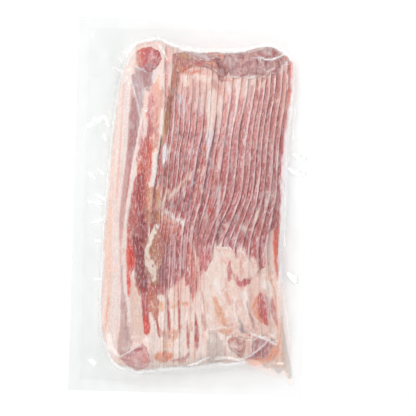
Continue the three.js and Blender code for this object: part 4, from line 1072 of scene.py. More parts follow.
# Each piece has a name, a thickness, how evenly it lies, its own seed, its outline and its paint.
FOLDED_PIECES = (
    (
        "belly_fat", 0.78, 5, 8,
        (
            (13, -58), (16, -55), (18.6, -47), (20.6, -41), (22, -32), (24.4, -37), (26.4, -35), (29, -33),
            (34, -33), (38, -37), (41, -42), (44, -37), (47, -36), (50.6, -43), (56.4, -47), (60, -53),
            (66, -56), (69, -47), (71.5, -58), (74, -70), (77, -84), (79, -98), (76, -110), (66, -108),
            (56, -111), (44, -108.6), (34, -110), (26, -104), (20, -103), (15.6, -92), (13.6, -78),
        ),
        painter(
            ("#EBD0C6", "#E5BDB1"),
            (
                ("#F3E8E4", 0.85, [(22.5, -33, 0.9), (33, -34, 1), (47, -38, 0.8)]),
                ("#CB7270", 0.9, [(35, -46, 1), (35.6, -54, 2), (35.4, -62, 1.2)]),
                ("#DDA096", 0.75, [(32.4, -60, 0.7), (32.4, -67, 0.8)]),
                ("#DBA39A", 0.7, [(44.6, -44, 1), (45, -54, 1.4), (44.4, -59, 0.9)]),
                ("#E3B8AE", 0.7, [(54, -46, 0.7), (55.6, -54, 0.8)]),
                ("#C86266", 0.97, [(39.4, -56, 0.9), (41, -60.6, 1.8), (44, -64, 2.3), (48, -65, 1.6)]),
                ("#B94449", 0.97, [(47, -63.6, 1.8), (50, -62, 2.6), (51.8, -60.4, 1.1)]),
                ("#E9C9BC", 0.8, [(38.6, -40, 0.8), (40, -56, 0.9), (40.6, -74, 0.8)]),
                ("#CE9086", 0.8, [(60, -46, 1.2), (60.4, -54, 1.4)]),
                ("#C98F80", 0.7, [(37, -109.4, 1), (43, -109, 1)]),
                ("#DFA588", 0.85, [(22.6, -76, 1.2), (25.4, -83, 2.4), (29, -91, 3.6), (31, -97, 2.8)]),
                ("#D9977A", 0.5, [(25, -80, 1), (31, -92, 1.4)]),
                ("#D99C84", 0.85, [(30, -104, 2), (35, -105, 2.6), (38.6, -104, 1.6)]),
                ("#D6A498", 0.75, [(34, -99.6, 1.6), (40, -100.6, 2.2), (46, -101, 1.6)]),
                ("#D99E8C", 0.7, [(33, -72, 1), (35, -79, 1.2)]),
                ("#F5ECEA", 0.9, [(40, -76, 0.8), (41, -86, 0.9), (42, -96, 0.7)]),
                ("#F0E2DE", 0.7, [(24, -62, 2), (28, -72, 1.6)], [(48, -72, 2.4), (50, -84, 1.6)]),
                ("#EFDFDA", 0.8, [(64, -62, 2.4), (66, -68, 1.6)]),
                ("#F3E4DE", 0.8, [(69, -61, 1.6), (70.6, -70, 1.8), (71.6, -77, 1)]),
                ("#DDA79D", 0.6, [(54, -70, 1), (55, -78, 0.9)]),
                ("#E3B5A9", 0.6, [(58, -56, 1.4), (62, -60, 1.2)]),
                ("#DDAA98", 0.7, [(38.4, -82, 0.5), (39.6, -88, 0.5)]),
                ("#D2A49C", 0.75, [(41, -80, 0.5), (42.4, -90, 0.6), (44.6, -96, 0.5)]),
                ("#C98478", 0.7, [(31, -99, 0.5), (37, -100, 0.5)]),
                ("#DFA79B", 0.7, [(39, -98, 0.7), (43, -97, 0.7)]),
                ("#DD9576", 0.95, [(59, -76, 1.6), (57.8, -84, 3), (60, -91, 2.6), (64, -96, 1)]),
                ("#C25E5C", 0.97, [(62, -73, 1.8), (63, -82, 4), (65.2, -90, 3.8), (68.4, -98, 1.2)]),
                ("#C69298", 0.85, [(66, -73, 1), (68.6, -82, 1.4), (70.4, -92, 1)]),
                ("#C97A7A", 0.9, [(72.4, -77, 1.2), (73.8, -86, 2.2), (75.6, -93, 1.7), (77.4, -99, 0.8)]),
                ("#B08A8C", 0.85, [(50.6, -79, 0.4), (53, -88, 0.9), (56, -96, 1.1), (59, -105, 0.8)]),
                ("#A5686A", 0.6, [(52, -86, 0.4), (55.4, -94, 0.5)]),
                ("#93898C", 0.95, [(45, -95, 0.5), (47, -99, 1.4), (47, -104, 1.6)]),
                ("#A98C8C", 0.6, [(49, -104, 1.6), (52, -106, 1)]),
                ("#C8887E", 0.7, [(52.6, -101, 0.5), (54.6, -104.6, 0.5)]),
                ("#CC4236", 0.95, [(53.6, -107.8, 0.5), (56, -107.8, 0.5)]),
                ("#DFA294", 0.8, [(62, -97.6, 1.2)]),
                ("#E7A585", 0.9,
                    [(66.6, -50, 0.5), (69.4, -56, 0.8), (72.4, -64, 1), (75, -76, 0.8), (77, -88, 0.5)]),
            ),
            patch=5.0,
        ),
    ),
    (
        "rolled_end", 2.6, 6, 1,
        (
            (-49.4, 123), (-49, 129.6), (-45, 133.4), (-38, 134.4), (-31.6, 132), (-27.6, 127), (-28, 121.4),
            (-32, 116.4), (-36.6, 112.6), (-41.6, 114.6), (-47.4, 118),
        ),
        painter(
            ("#CE7472", "#C46668"),
            (
                ("#D9704F", 0.85, [(-46, 131, 1.6), (-43, 134, 1.6), (-39.6, 134.6, 0.8)]),
                ("#D87C66", 0.7, [(-45, 127, 1.6), (-46, 121, 1.6)]),
                ("#EBC3AB", 0.95, [(-49.6, 133, 1.2), (-50, 126, 1.2), (-48.6, 118.6, 1.6)]),
                ("#B14C50", 0.85, [(-31.4, 130, 1.4), (-30.4, 125, 1.9), (-32.6, 121.6, 1.6)]),
                ("#A94448", 0.7, [(-35.6, 121.8, 0.8)]),
                ("#D9A3A5", 0.8, [(-36, 131, 0.8), (-35, 126, 0.9), (-36, 123, 0.5)]),
                ("#B08084", 0.9, [(-41, 118, 1.6), (-37, 116, 2.6), (-33.6, 118, 1.6)]),
                ("#A6706F", 0.7, [(-38, 119.6, 1.2), (-35, 117.6, 1)]),
                ("#E2A498", 0.7, [(-47.4, 128, 1.6), (-47, 122, 1.8)]),
                ("#DCC5C6", 0.85, [(-47, 116, 1), (-43, 114.6, 0.9), (-40, 112.6, 0.9)]),
            ),
        ),
    ),
    (
        "brown_fold", 0.95, 4, 2,
        (
            (-17, 120), (-18, 128), (-10, 131), (0, 131), (8, 131.6), (16, 132.6), (25, 131.6), (28.4, 122),
            (28.6, 113.6), (24, 110), (19, 114), (13, 117.4), (4, 118), (-6, 116), (-13, 113),
        ),
        painter(
            ("#BE857C", "#B07873"),
            (
                ("#DC8C76", 0.8, [(-9.4, 114, 1.2), (-3, 114, 1.6)]),
                ("#C39566", 0.7, [(-13, 127.6, 1), (-8, 128.4, 1.4), (-5, 125.6, 1.6)]),
                ("#BE7F68", 0.8, [(-14, 120, 2.6), (-12, 114, 2)]),
                ("#D6C2C2", 0.85, [(-3, 130.4, 1.2), (4, 129.6, 2), (9, 127.8, 2.6), (12, 125, 2)]),
                ("#B9696A", 0.8, [(0, 121.4, 1.6), (6, 121, 1.6)]),
                ("#DB7049", 0.97, [(11, 131.4, 0.7), (17, 130.6, 1.3), (24, 129.6, 2), (25.6, 126.6, 1.2)]),
                ("#DD7C5E", 0.8, [(-9, 116, 1), (-3, 117.6, 1), (4, 118.8, 0.8)]),
                ("#D79C88", 0.8, [(12, 121.6, 1.2), (17, 121, 1.6)]),
                ("#925A5C", 0.97, [(20, 125, 1.2), (22, 120, 2.4), (25.6, 115.6, 2.6)]),
                ("#7E4A52", 0.7, [(20, 123, 0.7), (24, 117, 0.9), (26.4, 113.4, 1)]),
                ("#A26A68", 0.8, [(19.6, 128, 0.6), (24, 122, 1.6)]),
            ),
            patch=2.6,
        ),
    ),
    (
        "folded_cap", 1.3, 4, 3,
        (
            (27, 120), (26.6, 130.6), (34, 132.6), (42, 133), (50, 134.6), (56, 137), (64, 138.2),
            (70.6, 137.2), (75, 134), (78.6, 131.4), (81, 127), (78, 122), (74.6, 119.4), (70, 114.6),
            (64.6, 113.4), (59.6, 110.6), (55, 112), (49, 109.6), (42, 111), (36, 108.8), (30.6, 111.4),
        ),
        painter(
            ("#AC7A7C", "#C89E9A"),
            (
                ("#9F6E70", 0.8, [(27, 127, 1.4), (28.6, 119, 2.2), (29, 113.6, 1.4)]),
                ("#A97A88", 0.7, [(34, 112, 1), (35.6, 117, 1.2)]),
                ("#A87476", 0.6, [(32, 128, 1), (34.6, 122, 1), (42, 120, 1.6)]),
                ("#B07C7C", 0.6, [(47, 124, 1), (45, 115, 1.2)]),
                ("#C98F84", 0.6, [(37, 118, 0.9), (52, 132.6, 1.2)]),
                ("#8C3F42", 0.97, [(52.4, 128.6, 0.5), (53.2, 124.6, 0.9), (54.6, 120.4, 0.7)]),
                ("#B06A68", 0.9, [(53, 135, 1.4), (56, 131.6, 1.2), (60, 129, 0.9)]),
                ("#C9A9A8", 0.8, [(60, 134, 2.4), (64, 131.6, 2)]),
                ("#B5544E", 0.97, [(66.6, 136, 0.8), (69, 133.6, 1.9), (68.4, 131, 0.7)]),
                ("#C66A58", 0.9, [(71, 131.4, 0.6), (73.6, 133.6, 0.6)]),
                ("#A4646A", 0.85, [(61.4, 125, 1), (62.6, 119.6, 0.9)]),
                ("#9A5258", 0.95, [(72.4, 126, 0.8), (73, 121.6, 1.3), (75.6, 125, 1)]),
                ("#B07C7E", 0.7, [(65, 125, 1.6), (66.6, 120, 1.4)]),
                ("#B4676A", 0.85, [(69.6, 117.6, 1.2)]),
                ("#E4D5D6", 0.85, [(50.6, 128, 0.5), (55.6, 127.6, 0.6), (57, 123, 0.6)]),
                ("#E4D5D6", 0.7, [(60, 117.6, 0.8), (64.6, 116.6, 0.7), (68, 119, 0.7)]),
                ("#E6664A", 0.97, [(78.2, 130, 0.6), (79.6, 127.6, 0.7)]),
                ("#E3CBC7", 0.9,
                    [(31, 110.6, 0.8), (38, 109.6, 1.2), (46, 110, 1.4), (54, 111, 1), (60, 112, 1)]),
                ("#E2CBC6", 0.8, [(46, 133.6, 1), (52, 134.8, 1.4), (59, 137, 1)]),
                ("#E8DAD9", 0.9, [(77.6, 122, 1), (75, 119, 0.9), (80, 126, 0.9)]),
            ),
            patch=1.9,
        ),
    ),
    (
        "belly_flap", 0.8, 5, 4,
        (
            (-29, -15), (-25, -20), (-22.4, -27), (-20.6, -35), (-21.4, -44), (-23.4, -52), (-24, -60),
            (-25.6, -67), (-30.6, -66.4), (-34, -60), (-36.8, -50), (-37, -38), (-34.4, -27), (-31, -19.6),
        ),
        painter(
            ("#B87F66", "#AE6F5E"),
            (
                ("#AC7856", 0.6, [(-31, -33, 1.6), (-32, -38, 1.6), (-28, -43, 1.2)]),
                ("#B06C64", 0.85, [(-24, -29, 2.4), (-22.6, -36, 2), (-24, -44, 2)]),
                ("#E8D5CA", 0.97,
                    [(-25, -19, 1.4), (-27.8, -17, 1.8), (-30, -23, 2.2), (-32.8, -30, 2),
                     (-35.8, -40, 1.7)]),
                ("#E4CCC0", 0.97, [(-36.2, -38, 2), (-34.4, -48, 3.2), (-30.4, -48.4, 2.2)]),
                ("#E2CBBF", 0.95, [(-33, -49, 2.6), (-29.8, -53, 3.8), (-29, -58, 3), (-28.4, -63, 1.6)]),
                ("#A47478", 0.85, [(-29.6, -50.6, 1), (-29, -52, 0.8)]),
                ("#A97E7C", 0.75, [(-33.4, -57, 0.6), (-29.4, -60, 0.6), (-31, -64, 0.6)]),
                ("#B98C6C", 0.7, [(-26, -57, 0.8), (-26, -62, 0.7), (-27.6, -66, 0.6)]),
                ("#A9604C", 0.85, [(-28.6, -16.6, 0.8), (-28, -21, 0.9)]),
                ("#B98468", 0.8, [(-33.6, -26, 0.6), (-34.4, -31, 0.5)]),
                ("#B98468", 0.7, [(-36, -43, 0.6), (-33, -46.6, 0.6)]),
                ("#9C6A70", 0.8, [(-25, -52, 0.6), (-25.6, -58, 0.7), (-24.6, -63, 0.6)]),
                ("#B07A6C", 0.7, [(-32, -62, 0.7), (-30, -66, 0.8)]),
            ),
            patch=2.4,
        ),
    ),
    (
        "corner_fold", 1.6, 5, 5,
        (
            (56, -122), (58, -113), (63, -109.6), (70, -110.6), (77, -114), (78.6, -119), (74, -125),
            (68, -130), (58, -130), (50, -129.6),
        ),
        painter(
            ("#B97E82", "#C99C9A"),
            (
                ("#9C6C6E", 0.85, [(58.6, -117.6, 0.9), (61, -113, 1.8), (64, -112, 1)]),
                ("#8F4F4E", 0.9, [(57, -126, 0.5), (61.6, -122.6, 0.9), (66, -118.6, 0.5)]),
                ("#A86A68", 0.8, [(58, -127, 1), (64, -122.6, 1.2), (69, -116, 1.4), (70, -112.6, 0.9)]),
                ("#EADFE0", 0.6,
                    [(55, -125.6, 0.5), (60.6, -121.4, 0.6), (66, -116.6, 0.6), (69, -112, 0.4)]),
                ("#DE9E8A", 0.9, [(73, -114.6, 1.4), (75.6, -119.6, 2), (72.6, -124.6, 1.4)]),
                ("#DA5638", 0.97, [(68.6, -128.6, 0.6), (71.6, -127, 1.4), (73.4, -125, 0.7)]),
                ("#E0623C", 0.97, [(53, -129, 0.9), (60, -129.6, 1.3), (66, -129.4, 1.1)]),
            ),
            patch=2.2,
        ),
    ),
    (
        "round_piece", 1.0, 5, 6,
        (
            (35.4, -113.6), (38, -109.6), (43, -109), (48.6, -110), (50.6, -115), (50, -121), (47.6, -126.6),
            (42.6, -124), (38, -120),
        ),
        painter(
            ("#D6B0A8", "#C79C95"),
            (
                ("#B87C70", 0.8, [(36.6, -114, 1.2), (39.6, -111, 1.8), (43, -110.6, 1)]),
                ("#A97270", 0.8, [(43.6, -112, 0.8), (45.6, -116, 0.9), (48.6, -113, 0.6)]),
                ("#B0706E", 0.8, [(41, -120, 0.7), (46, -121.4, 1.2), (49, -119.6, 0.9)]),
                ("#DEC6BE", 0.8, [(40, -116, 1.6), (43, -118, 1)]),
                ("#BD8A88", 0.8, [(46.6, -125, 1.2), (43, -127, 1)]),
            ),
            patch=1.8,
        ),
    ),
    (
        "bottom_fold", 1.3, 5, 7,
        (
            (-57, -130), (-51, -126), (-44, -121.6), (-37.6, -117.4), (-34, -119), (-30.4, -127),
            (-29.6, -133), (-33, -138), (-40.6, -141.6), (-48, -137.6), (-54, -133),
        ),
        painter(
            ("#D8ABAA", "#D09C99"),
            (
                ("#B06C6E", 0.85, [(-46, -124.6, 1), (-41, -122, 1.8), (-37.6, -121, 1.6)]),
                ("#AE8488", 0.8, [(-50, -129, 1), (-45, -127, 1.6)]),
                ("#D98A83", 0.9, [(-35, -127, 1.6), (-33.6, -131.6, 2.2)]),
                ("#E2B4AF", 0.8, [(-36, -136.6, 1.6), (-32.6, -135.4, 1.4)]),
                ("#DFBDBD", 0.8, [(-42, -133, 2.2), (-40, -137, 1.6)]),
                ("#DB8F86", 0.85,
                    [(-53, -133.6, 0.6), (-47, -138.4, 0.8), (-42, -140.6, 0.8), (-36, -139.6, 0.8)]),
                ("#EBDEDC", 0.85, [(-58, -131, 0.8), (-47, -124.4, 0.7), (-38, -117, 0.8)]),
                ("#B4807E", 0.7, [(-53, -131, 0.9), (-49, -133, 0.8)]),
            ),
            patch=2.0,
        ),
    ),
)

pile = Relief(meat_pieces)
folded_pieces = [
    drape(name, pile, corners, thickness, raw_meat, paint, seed, softness)
    for name, thickness, softness, seed, corners, paint in FOLDED_PIECES
]


# ---- Juice -------------------------------------------------------------------------------------
# Thin meat juice that the vacuum has pressed out: a red wedge and a thread down the right side and an
# orange pool in the lower right corner, all between the meat and the film.

# Each pool has a name, a depth, the most that it hides, its colour and its outline.
JUICE_POOLS = (
    (
        "juice_wedge", 0.5, 0.75, "#DD6A55",
        (
            (76.2, 10), (77, -2), (77.8, -16), (78.2, -34), (78.4, -50), (77.4, -61), (74.6, -54),
            (72.6, -40), (71.4, -26), (73.8, -10),
        ),
    ),
    (
        "juice_pool", 0.8, 0.25, "#FFC8A0",
        (
            (64, -131), (69, -124), (75, -113), (79, -100), (81.6, -92), (84, -104), (86.6, -118),
            (89.6, -130), (92, -143), (89, -146), (85, -139), (80, -141), (74, -137), (68, -137.4),
        ),
    ),
)


def thin_at_rim(most):
    """How much a pool's upper face hides: most in its middle, nothing at its rim or underneath."""

    def paint(x, y, share):
        depth = most * (1 - share**2.5) * (0.75 + 0.5 * mottle(x / 3, y / 4, 48))
        depth[len(depth) // 2:] = 0
        return np.repeat(np.clip(depth, 0, 1)[:, None], 3, 1)

    return paint


def patches(tree, scale, detail, least, most):
    """Noise in patches, from least to most."""
    place = add_node(tree, "ShaderNodeTexCoord")
    noise = add_node(
        tree, "ShaderNodeTexNoise", {"Vector": place.outputs["Object"], "Scale": scale, "Detail": detail}
    )
    return add_node(
        tree, "ShaderNodeMapRange",
        {"Value": noise.outputs["Fac"], "From Min": 0.35, "From Max": 0.65, "To Min": least, "To Max": most},
    )


def over_clear(tree, share, coat):
    """This share of a coat over something clear."""
    clear = add_node(tree, "ShaderNodeBsdfTransparent")
    return add_node(tree, "ShaderNodeMixShader", {0: share, 1: clear.outputs[0], 2: coat.outputs[0]})


def juice_finish(name, code):
    """A stained, see-through liquid with a wet surface, as deep as each point's own value."""
    finish, tree, output = new_material(name)
    stored = add_node(tree, "ShaderNodeVertexColor", layer_name="tissue")
    clouds = patches(tree, 260.0, 4.0, 0.6, 1.3)
    depth = add_node(
        tree, "ShaderNodeMath", {0: clouds.outputs[0], 1: stored.outputs["Color"]},
        operation="MULTIPLY", use_clamp=True,
    )
    wet = add_node(
        tree, "ShaderNodeBsdfPrincipled",
        {"Base Color": (*colour(code), 1), "Roughness": 0.12, "IOR": 1.34},
    )
    mixed = over_clear(tree, depth.outputs[0], wet)
    tree.links.new(mixed.outputs[0], output.inputs["Surface"])
    return finish


covered = Relief(meat_pieces + folded_pieces)
juice_pieces = [
    drape(
        name, covered, corners, depth, juice_finish(name, code), thin_at_rim(most), seed, softness=2,
        rings=14, spokes=90, ragged=0.8,
    )
    for seed, (name, depth, most, code, corners) in enumerate(JUICE_POOLS, 20)
]


# ---- The bag -----------------------------------------------------------------------------------
# Clear vacuum film in two sheets, welded together round the edge in a flat band. The front sheet is
# sucked onto the meat, bridges its grooves, comes down round it in a steep tent and crinkles on the
# margin; the back sheet lies flat on the table. Where it is creased the film looks white.

SEAL_WIDTH = 9.0
SEAL_TOP = 0.6
FILM_GAP = 0.3
MARGIN_TOP = 1.1
BAG_COLUMNS = 200
BAG_ROWS = 240
SEAM_ANGLE = math.radians(70)
MEAT_HALF = (78, 138)
BARE_BELOW = 0.01
FILM_SLOPE = 0.62
TENT_ROUNDS = 26
BRIDGING_ROUNDS = 10
BACK_RISE = 0.12


def bag_lines(half, count):
    """Places of the film's grid lines along one axis: few on the welded band, even inside it."""
    band = np.array([0, 0.5, 0.94])
    inner = np.linspace(-half + SEAL_WIDTH, half - SEAL_WIDTH, count + 1 - 2 * len(band))
    return np.concatenate([-half + band * SEAL_WIDTH, inner, half - band[::-1] * SEAL_WIDTH])


def from_bag_edge(x, y):
    """Distance inward from the nearest edge of the bag."""
    return np.minimum(BAG_HALF[0] - np.abs(x), BAG_HALF[1] - np.abs(y))


def tent(z, step, slope):
    """Film held up by what is under it falls away from it at this slope."""
    for _ in range(TENT_ROUNDS):
        wide = np.pad(z, 1, mode="edge")
        for i, j in np.ndindex(3, 3):
            reach = (0, 1, 1.414)[abs(i - 1) + abs(j - 1)]
            z = np.maximum(z, wide[i:i + z.shape[0], j:j + z.shape[1]] - slope * step * reach)
    return z


contents = Relief(meat_pieces + folded_pieces + juice_pieces)
map_x, map_y = np.meshgrid(MAP_COLUMNS, MAP_ROWS)
full = contents.z > BARE_BELOW
wrapped = np.where(full, contents.z + FILM_GAP, 0.0)
outward = np.hypot(map_x / MEAT_HALF[0], map_y / MEAT_HALF[1])
around = np.arctan2(map_y / MEAT_HALF[1], map_x / MEAT_HALF[0]) * 20
slope = FILM_SLOPE + 0.3 * mottle(around, outward, 41)
draped = tent(wrapped, MAP_STEP, slope)
for _ in range(BRIDGING_ROUNDS):
    draped = np.maximum(draped, soften(draped, 1))

to_edge = from_bag_edge(map_x, map_y)
loose = smooth(SEAL_WIDTH, SEAL_WIDTH + 6, to_edge)
radial = mottle(around * 1.3, outward * 4, 42)
crinkle = 1 - np.abs(mottle(around * 0.9 + 0.3 * radial, outward * 5, 43))
creases = 1.3 * np.clip(crinkle - 0.55, 0, 1) + 0.25 * mottle(map_x / 5, map_y / 5, 44)
margin = blend(SEAL_TOP, MARGIN_TOP, loose) + loose * (0.35 + np.clip(creases, 0, 2))
film_top = np.maximum(soften(draped, 1), margin)
film_top = np.where(full, np.maximum(film_top, contents.z + FILM_GAP), film_top)
film_top = blend(SEAL_TOP, film_top, smooth(SEAL_WIDTH - 1, SEAL_WIDTH + 2, to_edge))

lines_x, lines_y = bag_lines(BAG_HALF[0], BAG_COLUMNS), bag_lines(BAG_HALF[1], BAG_ROWS)
grid_x, grid_y = (a.ravel() for a in np.meshgrid(lines_x, lines_y))
front = contents.read(grid_x, grid_y, film_top)
inside = from_bag_edge(grid_x, grid_y)
back = BACK_RISE * smooth(2, 20, inside) * (1 + mottle(grid_x / 9, grid_y / 9, 45))
across_count, along_count = len(lines_x), len(lines_y)
cell = (np.arange(along_count - 1)[:, None] * across_count + np.arange(across_count - 1)).ravel()
quad = np.stack([cell, cell + 1, cell + across_count + 1, cell + across_count], 1)
count = across_count * along_count
ring = np.concatenate([
    np.arange(across_count - 1), np.arange(along_count - 1) * across_count + across_count - 1,
    count - 1 - np.arange(across_count - 1), (along_count - 1 - np.arange(along_count - 1)) * across_count,
])
after = np.roll(ring, -1)
walls = np.stack([ring, ring + count, after + count, after], 1)
faces = np.concatenate([quad, quad[:, ::-1] + count, walls])
bag_mesh = two_faced("film_bag", grid_x, grid_y, front, back, faces.tolist())
bag_mesh.set_sharp_from_angle(angle=SEAM_ANGLE)

# Slack film is greyest at the lower left, has painted light where it bends down off the meat, and
# has painted highlights on its folds: white glints and streaks. Each is a strength and its paths.
GLINTS = (
    (0.9, [(-89, 67, 1.6), (-86, 68, 1.4)], [(-84, 72, 1.6), (-80, 71, 1.4), (-78, 74, 1.2)],
        [(-75.6, 75, 1), (-73, 71, 1.2), (-72, 67, 0.6)]),
    (0.8, [(-75, 60, 0.7), (-74, 55, 0.7)], [(-88, 26, 0.6), (-82, 22, 0.7)],
        [(-80, 30, 0.6), (-75, 26, 0.7)], [(-81, 8, 0.7), (-73.6, 4, 0.7)]),
    (0.7, [(-87, 2, 0.5), (-76, 0, 0.5)]),
    (0.9, [(-83, -16, 0.6), (-76, -13.6, 1)]),
    (0.8, [(-80, -31.6, 0.6), (-76, -32, 0.6)], [(-80, -64.6, 0.5), (-75, -64.6, 0.5)]),
    (0.9, [(-82, -134, 0.9), (-78, -137, 1.1)]),
    (0.05, [(-68.4, 97, 0.5), (-68, 85, 0.7), (-69.6, 74, 0.6), (-70, 64, 0.6)],
        [(-92, 112, 1.2), (-82, 109, 1.4)]),
    (0.03, [(-86, 127, 1.2), (-77, 124, 1.6), (-66, 124, 1.2)]),
    (0.02, [(-78, 134, 1), (-68, 130, 1), (-60, 122, 1)]),
    (0.2, [(-70, 118, 0.6), (-60, 113, 0.9), (-52, 116.4, 0.6)]),
    (0.25, [(84.6, 95, 0.6), (84.4, 80, 0.8), (82.8, 64, 0.7)],
        [(88, 86, 0.8), (86.4, 72, 0.8), (87, 60, 0.8)]),
    (0.9, [(88, 47, 1.4), (93, 44, 2), (97, 42, 1)], [(84, 35, 0.8), (88, 32, 1.8), (96, 30, 1.4)]),
    (0.25, [(81.8, 14, 0.5), (81.4, -12, 0.6), (81.4, -26, 0.8), (82.4, -31, 1.4)]),
    (0.95, [(86, -55, 1.4), (89.4, -58, 2.8), (93, -63, 1.6)]),
    (0.3, [(81.4, -66, 0.6), (83, -80, 0.7), (86, -96, 0.7), (88.6, -112, 0.6)]),
    (0.95, [(79, -131.6, 0.8), (83, -132, 1.1)]),
    (0.8, [(85, -139, 0.6), (89, -143, 0.7)]),
    # painted highlights where the film leaves the upper and lower ends of the meat
    (0.05, [(-56, 134, 1), (-50, 139, 1.4), (-40, 140, 1.2), (-30, 137.6, 1)]),
    (0.08, [(-26, 139, 0.8), (-12, 136, 0.8), (0, 134.6, 0.7), (10, 134, 0.6)]),
    (0.4, [(-16, 132, 0.5), (-4, 132.4, 0.5)]),
    (0.12, [(22, 133.6, 0.5), (34, 134.4, 0.6), (48, 135.6, 0.6), (60, 139, 0.8), (72, 138.6, 0.6)],
        [(76, 136.6, 0.7), (81, 131.6, 0.8), (83.6, 122, 0.7), (84, 108, 0.6)]),
    (0.1, [(-66, -128, 0.8), (-62, -134, 1.2), (-56, -139, 1.2), (-49, -142.6, 0.8)]),
    (0.05, [(-40, -142, 0.6), (-26, -139.6, 0.9), (-12, -139, 0.9), (2, -137.6, 0.8)]),
    (0.6, [(2, -134.6, 0.6), (9, -133, 0.7), (15, -129.4, 0.8), (20, -127, 0.6)]),
    (0.1, [(20, -128, 0.6), (26, -132, 0.7), (34, -133.6, 0.9), (44, -131.6, 0.9)]),
    # painted highlights on loose film over the meat
    (0.1, [(-62, 124, 3), (-57, 131, 3.4), (-50, 137.6, 1.6)]),
    (0.04, [(-66, 108, 1.6), (-69, 90, 1.6), (-71.6, 70, 1.4), (-73, 40, 1.2)]),
    (0.15, [(-58, 110, 1.4), (-54, 102, 1), (-50, 92, 0.7)]),
    (0.5,
        [(-52.6, 105, 0.4), (-49.6, 96, 0.6), (-46.4, 85, 0.5), (-44.4, 76, 0.6), (-43, 66, 0.5),
         (-41.4, 58, 0.3)]),
    (0.22, [(-48.6, 106, 0.5), (-45.6, 95, 0.6), (-44, 84, 0.4)],
        [(-43.6, 110, 0.4), (-42.6, 101, 0.5), (-43, 92, 0.4)]),
    (0.9, [(-39.6, 80, 0.9), (-38.6, 79.4, 0.6)]),
    (0.5, [(-30.4, 136, 0.6), (-26, 130.6, 0.8), (-22.6, 124, 0.6)]),
    (0.06, [(30, 110, 0.8), (38, 111, 0.8), (46, 109.6, 0.8), (54, 112, 0.8), (62, 112.6, 0.7)]),
    (0.1, [(34, 128, 1.2), (40, 121, 1), (46, 127, 1)]),
    (0.12, [(58, 121.6, 0.8), (64, 117.6, 0.9), (70, 119.6, 0.8)]),
    (0.75, [(55, 128.6, 0.4), (61, 126.6, 0.6), (67, 127, 0.6), (72, 129.4, 0.7), (76, 131.6, 0.5)]),
    (0.3, [(74, 124.6, 0.6), (76, 119.6, 0.9), (75, 115.6, 0.7)]),
    (0.7, [(78, 126, 0.4), (80.6, 123.6, 0.5)]),
    (0.06, [(18, -108, 2.2), (24, -112, 3), (30, -117, 3.6), (26, -124, 3)]),
    (0.3, [(20, -104, 0.8), (30, -101.6, 0.5), (40, -101, 0.5)]),
    (0.45, [(26, -128, 1.6), (36, -127, 1.4), (46, -129, 1)]),
    (0.4, [(46, -128.6, 0.5), (54, -126, 0.4), (60, -120.6, 0.3), (66, -115.6, 0.4)]),
    (0.6, [(56, -106.6, 0.5), (63, -109, 0.8), (70, -112, 0.8), (77, -115.6, 0.9)]),
    (0.3, [(71, -106, 0.8), (76, -110, 1.1), (80, -117, 1)]),
    (0.1, [(-24, -112, 1.8), (-16, -114, 1.4), (-4, -113, 1.2)]),
    (0.35, [(-66, -112, 2), (-64, -122, 2.6), (-58, -128, 1.6)]),
    (0.12, [(-45, -112, 2), (-38, -112, 1.6), (-31, -115, 1.6)]),
    (0.08, [(-34, -141, 0.8), (-24, -138.6, 0.8), (-8, -138, 0.8)]),
)
# Juice smeared on the inside of the slack film in the lower right corner.
STAINS = (
    (0.3, [(79.6, -76, 0.5), (80.4, -92, 1), (81, -108, 1.4), (81, -124, 1.6)]),
    (0.22, [(80.6, -66, 0.3), (82, -86, 0.8), (83, -104, 1.4), (84, -118, 2), (84.6, -130, 2.2)]),
    (0.3, [(80.6, -110, 0.8), (81, -118, 1), (80.6, -126, 1.4)],
        [(70, -134.6, 1.4), (77, -135, 2), (83, -135, 1.6)]),
    (0.2, [(86, -139, 0.8), (89, -144, 0.8), (91, -148, 0.6)]),
    (0.3, [(70, -138.6, 0.6), (75, -140, 0.8), (80, -140.6, 0.6)]),
    (0.95, [(55, -130.4, 0.8), (61, -131.4, 1.4), (68, -130.6, 1.4)]),
    (0.9, [(69.6, -128.4, 0.6), (72.6, -126, 0.8), (74.6, -121, 0.6)]),
    (0.4, [(58, -134, 0.6), (66, -135.4, 1), (72, -136, 1)]),
    (0.12, [(80.6, -84, 1.5), (83.4, -104, 2.8), (86, -122, 3), (87, -136, 3)]),
    (0.08, [(66, -136, 2), (76, -139, 3), (86, -141, 3)]),
)

# The veil where the film is grey, white or stained, and how much it hides: round the meat and along
# the meat's rim, where it is painted light over the shade at the meat's foot, under a stain and at most.
# Glints are whiter than their strength.
GREY_VEIL = (0.58, 0.66, 0.63, 1)
# painted highlights and painted light: a white brighter than white
PAINTED_LIGHT_VEIL = (1.3, 1.3, 1.29, 1)
STAINED_VEIL = (1.16, 0.56, 0.36, 1)
LIGHT_HALO_VEIL = 0.5
RIM_LIGHT_VEIL = 0.4
STAIN_VEIL = 0.62
MOST_VEIL = 0.97
GLINT_WHITENESS = 4


def strongest(strokes, softness):
    """The strongest of these strokes at each point of the film."""
    most = np.zeros(len(grid_x))
    for strength, *paths in strokes:
        for path in paths:
            most = np.maximum(most, strength * stroke(grid_x, grid_y, path, softness))
    return most


lift = contents.read(grid_x, grid_y, film_top - contents.z)
meat_below = (covered.z > BARE_BELOW).astype(float)
on_meat = smooth(0.2, 0.8, contents.read(grid_x, grid_y, meat_below))
# Painted light along the meat's rim, white over the dark line of shade at its foot.
rim = contents.read(grid_x, grid_y, soften(meat_below, 5))
rim = smooth(0.25, 0.8, 4 * rim * (1 - rim))
near = contents.read(grid_x, grid_y, soften(meat_below, 24)) * (1 - on_meat)
to_left = smooth(-20, 80, -grid_x)
downward = smooth(-60, 120, -grid_y)

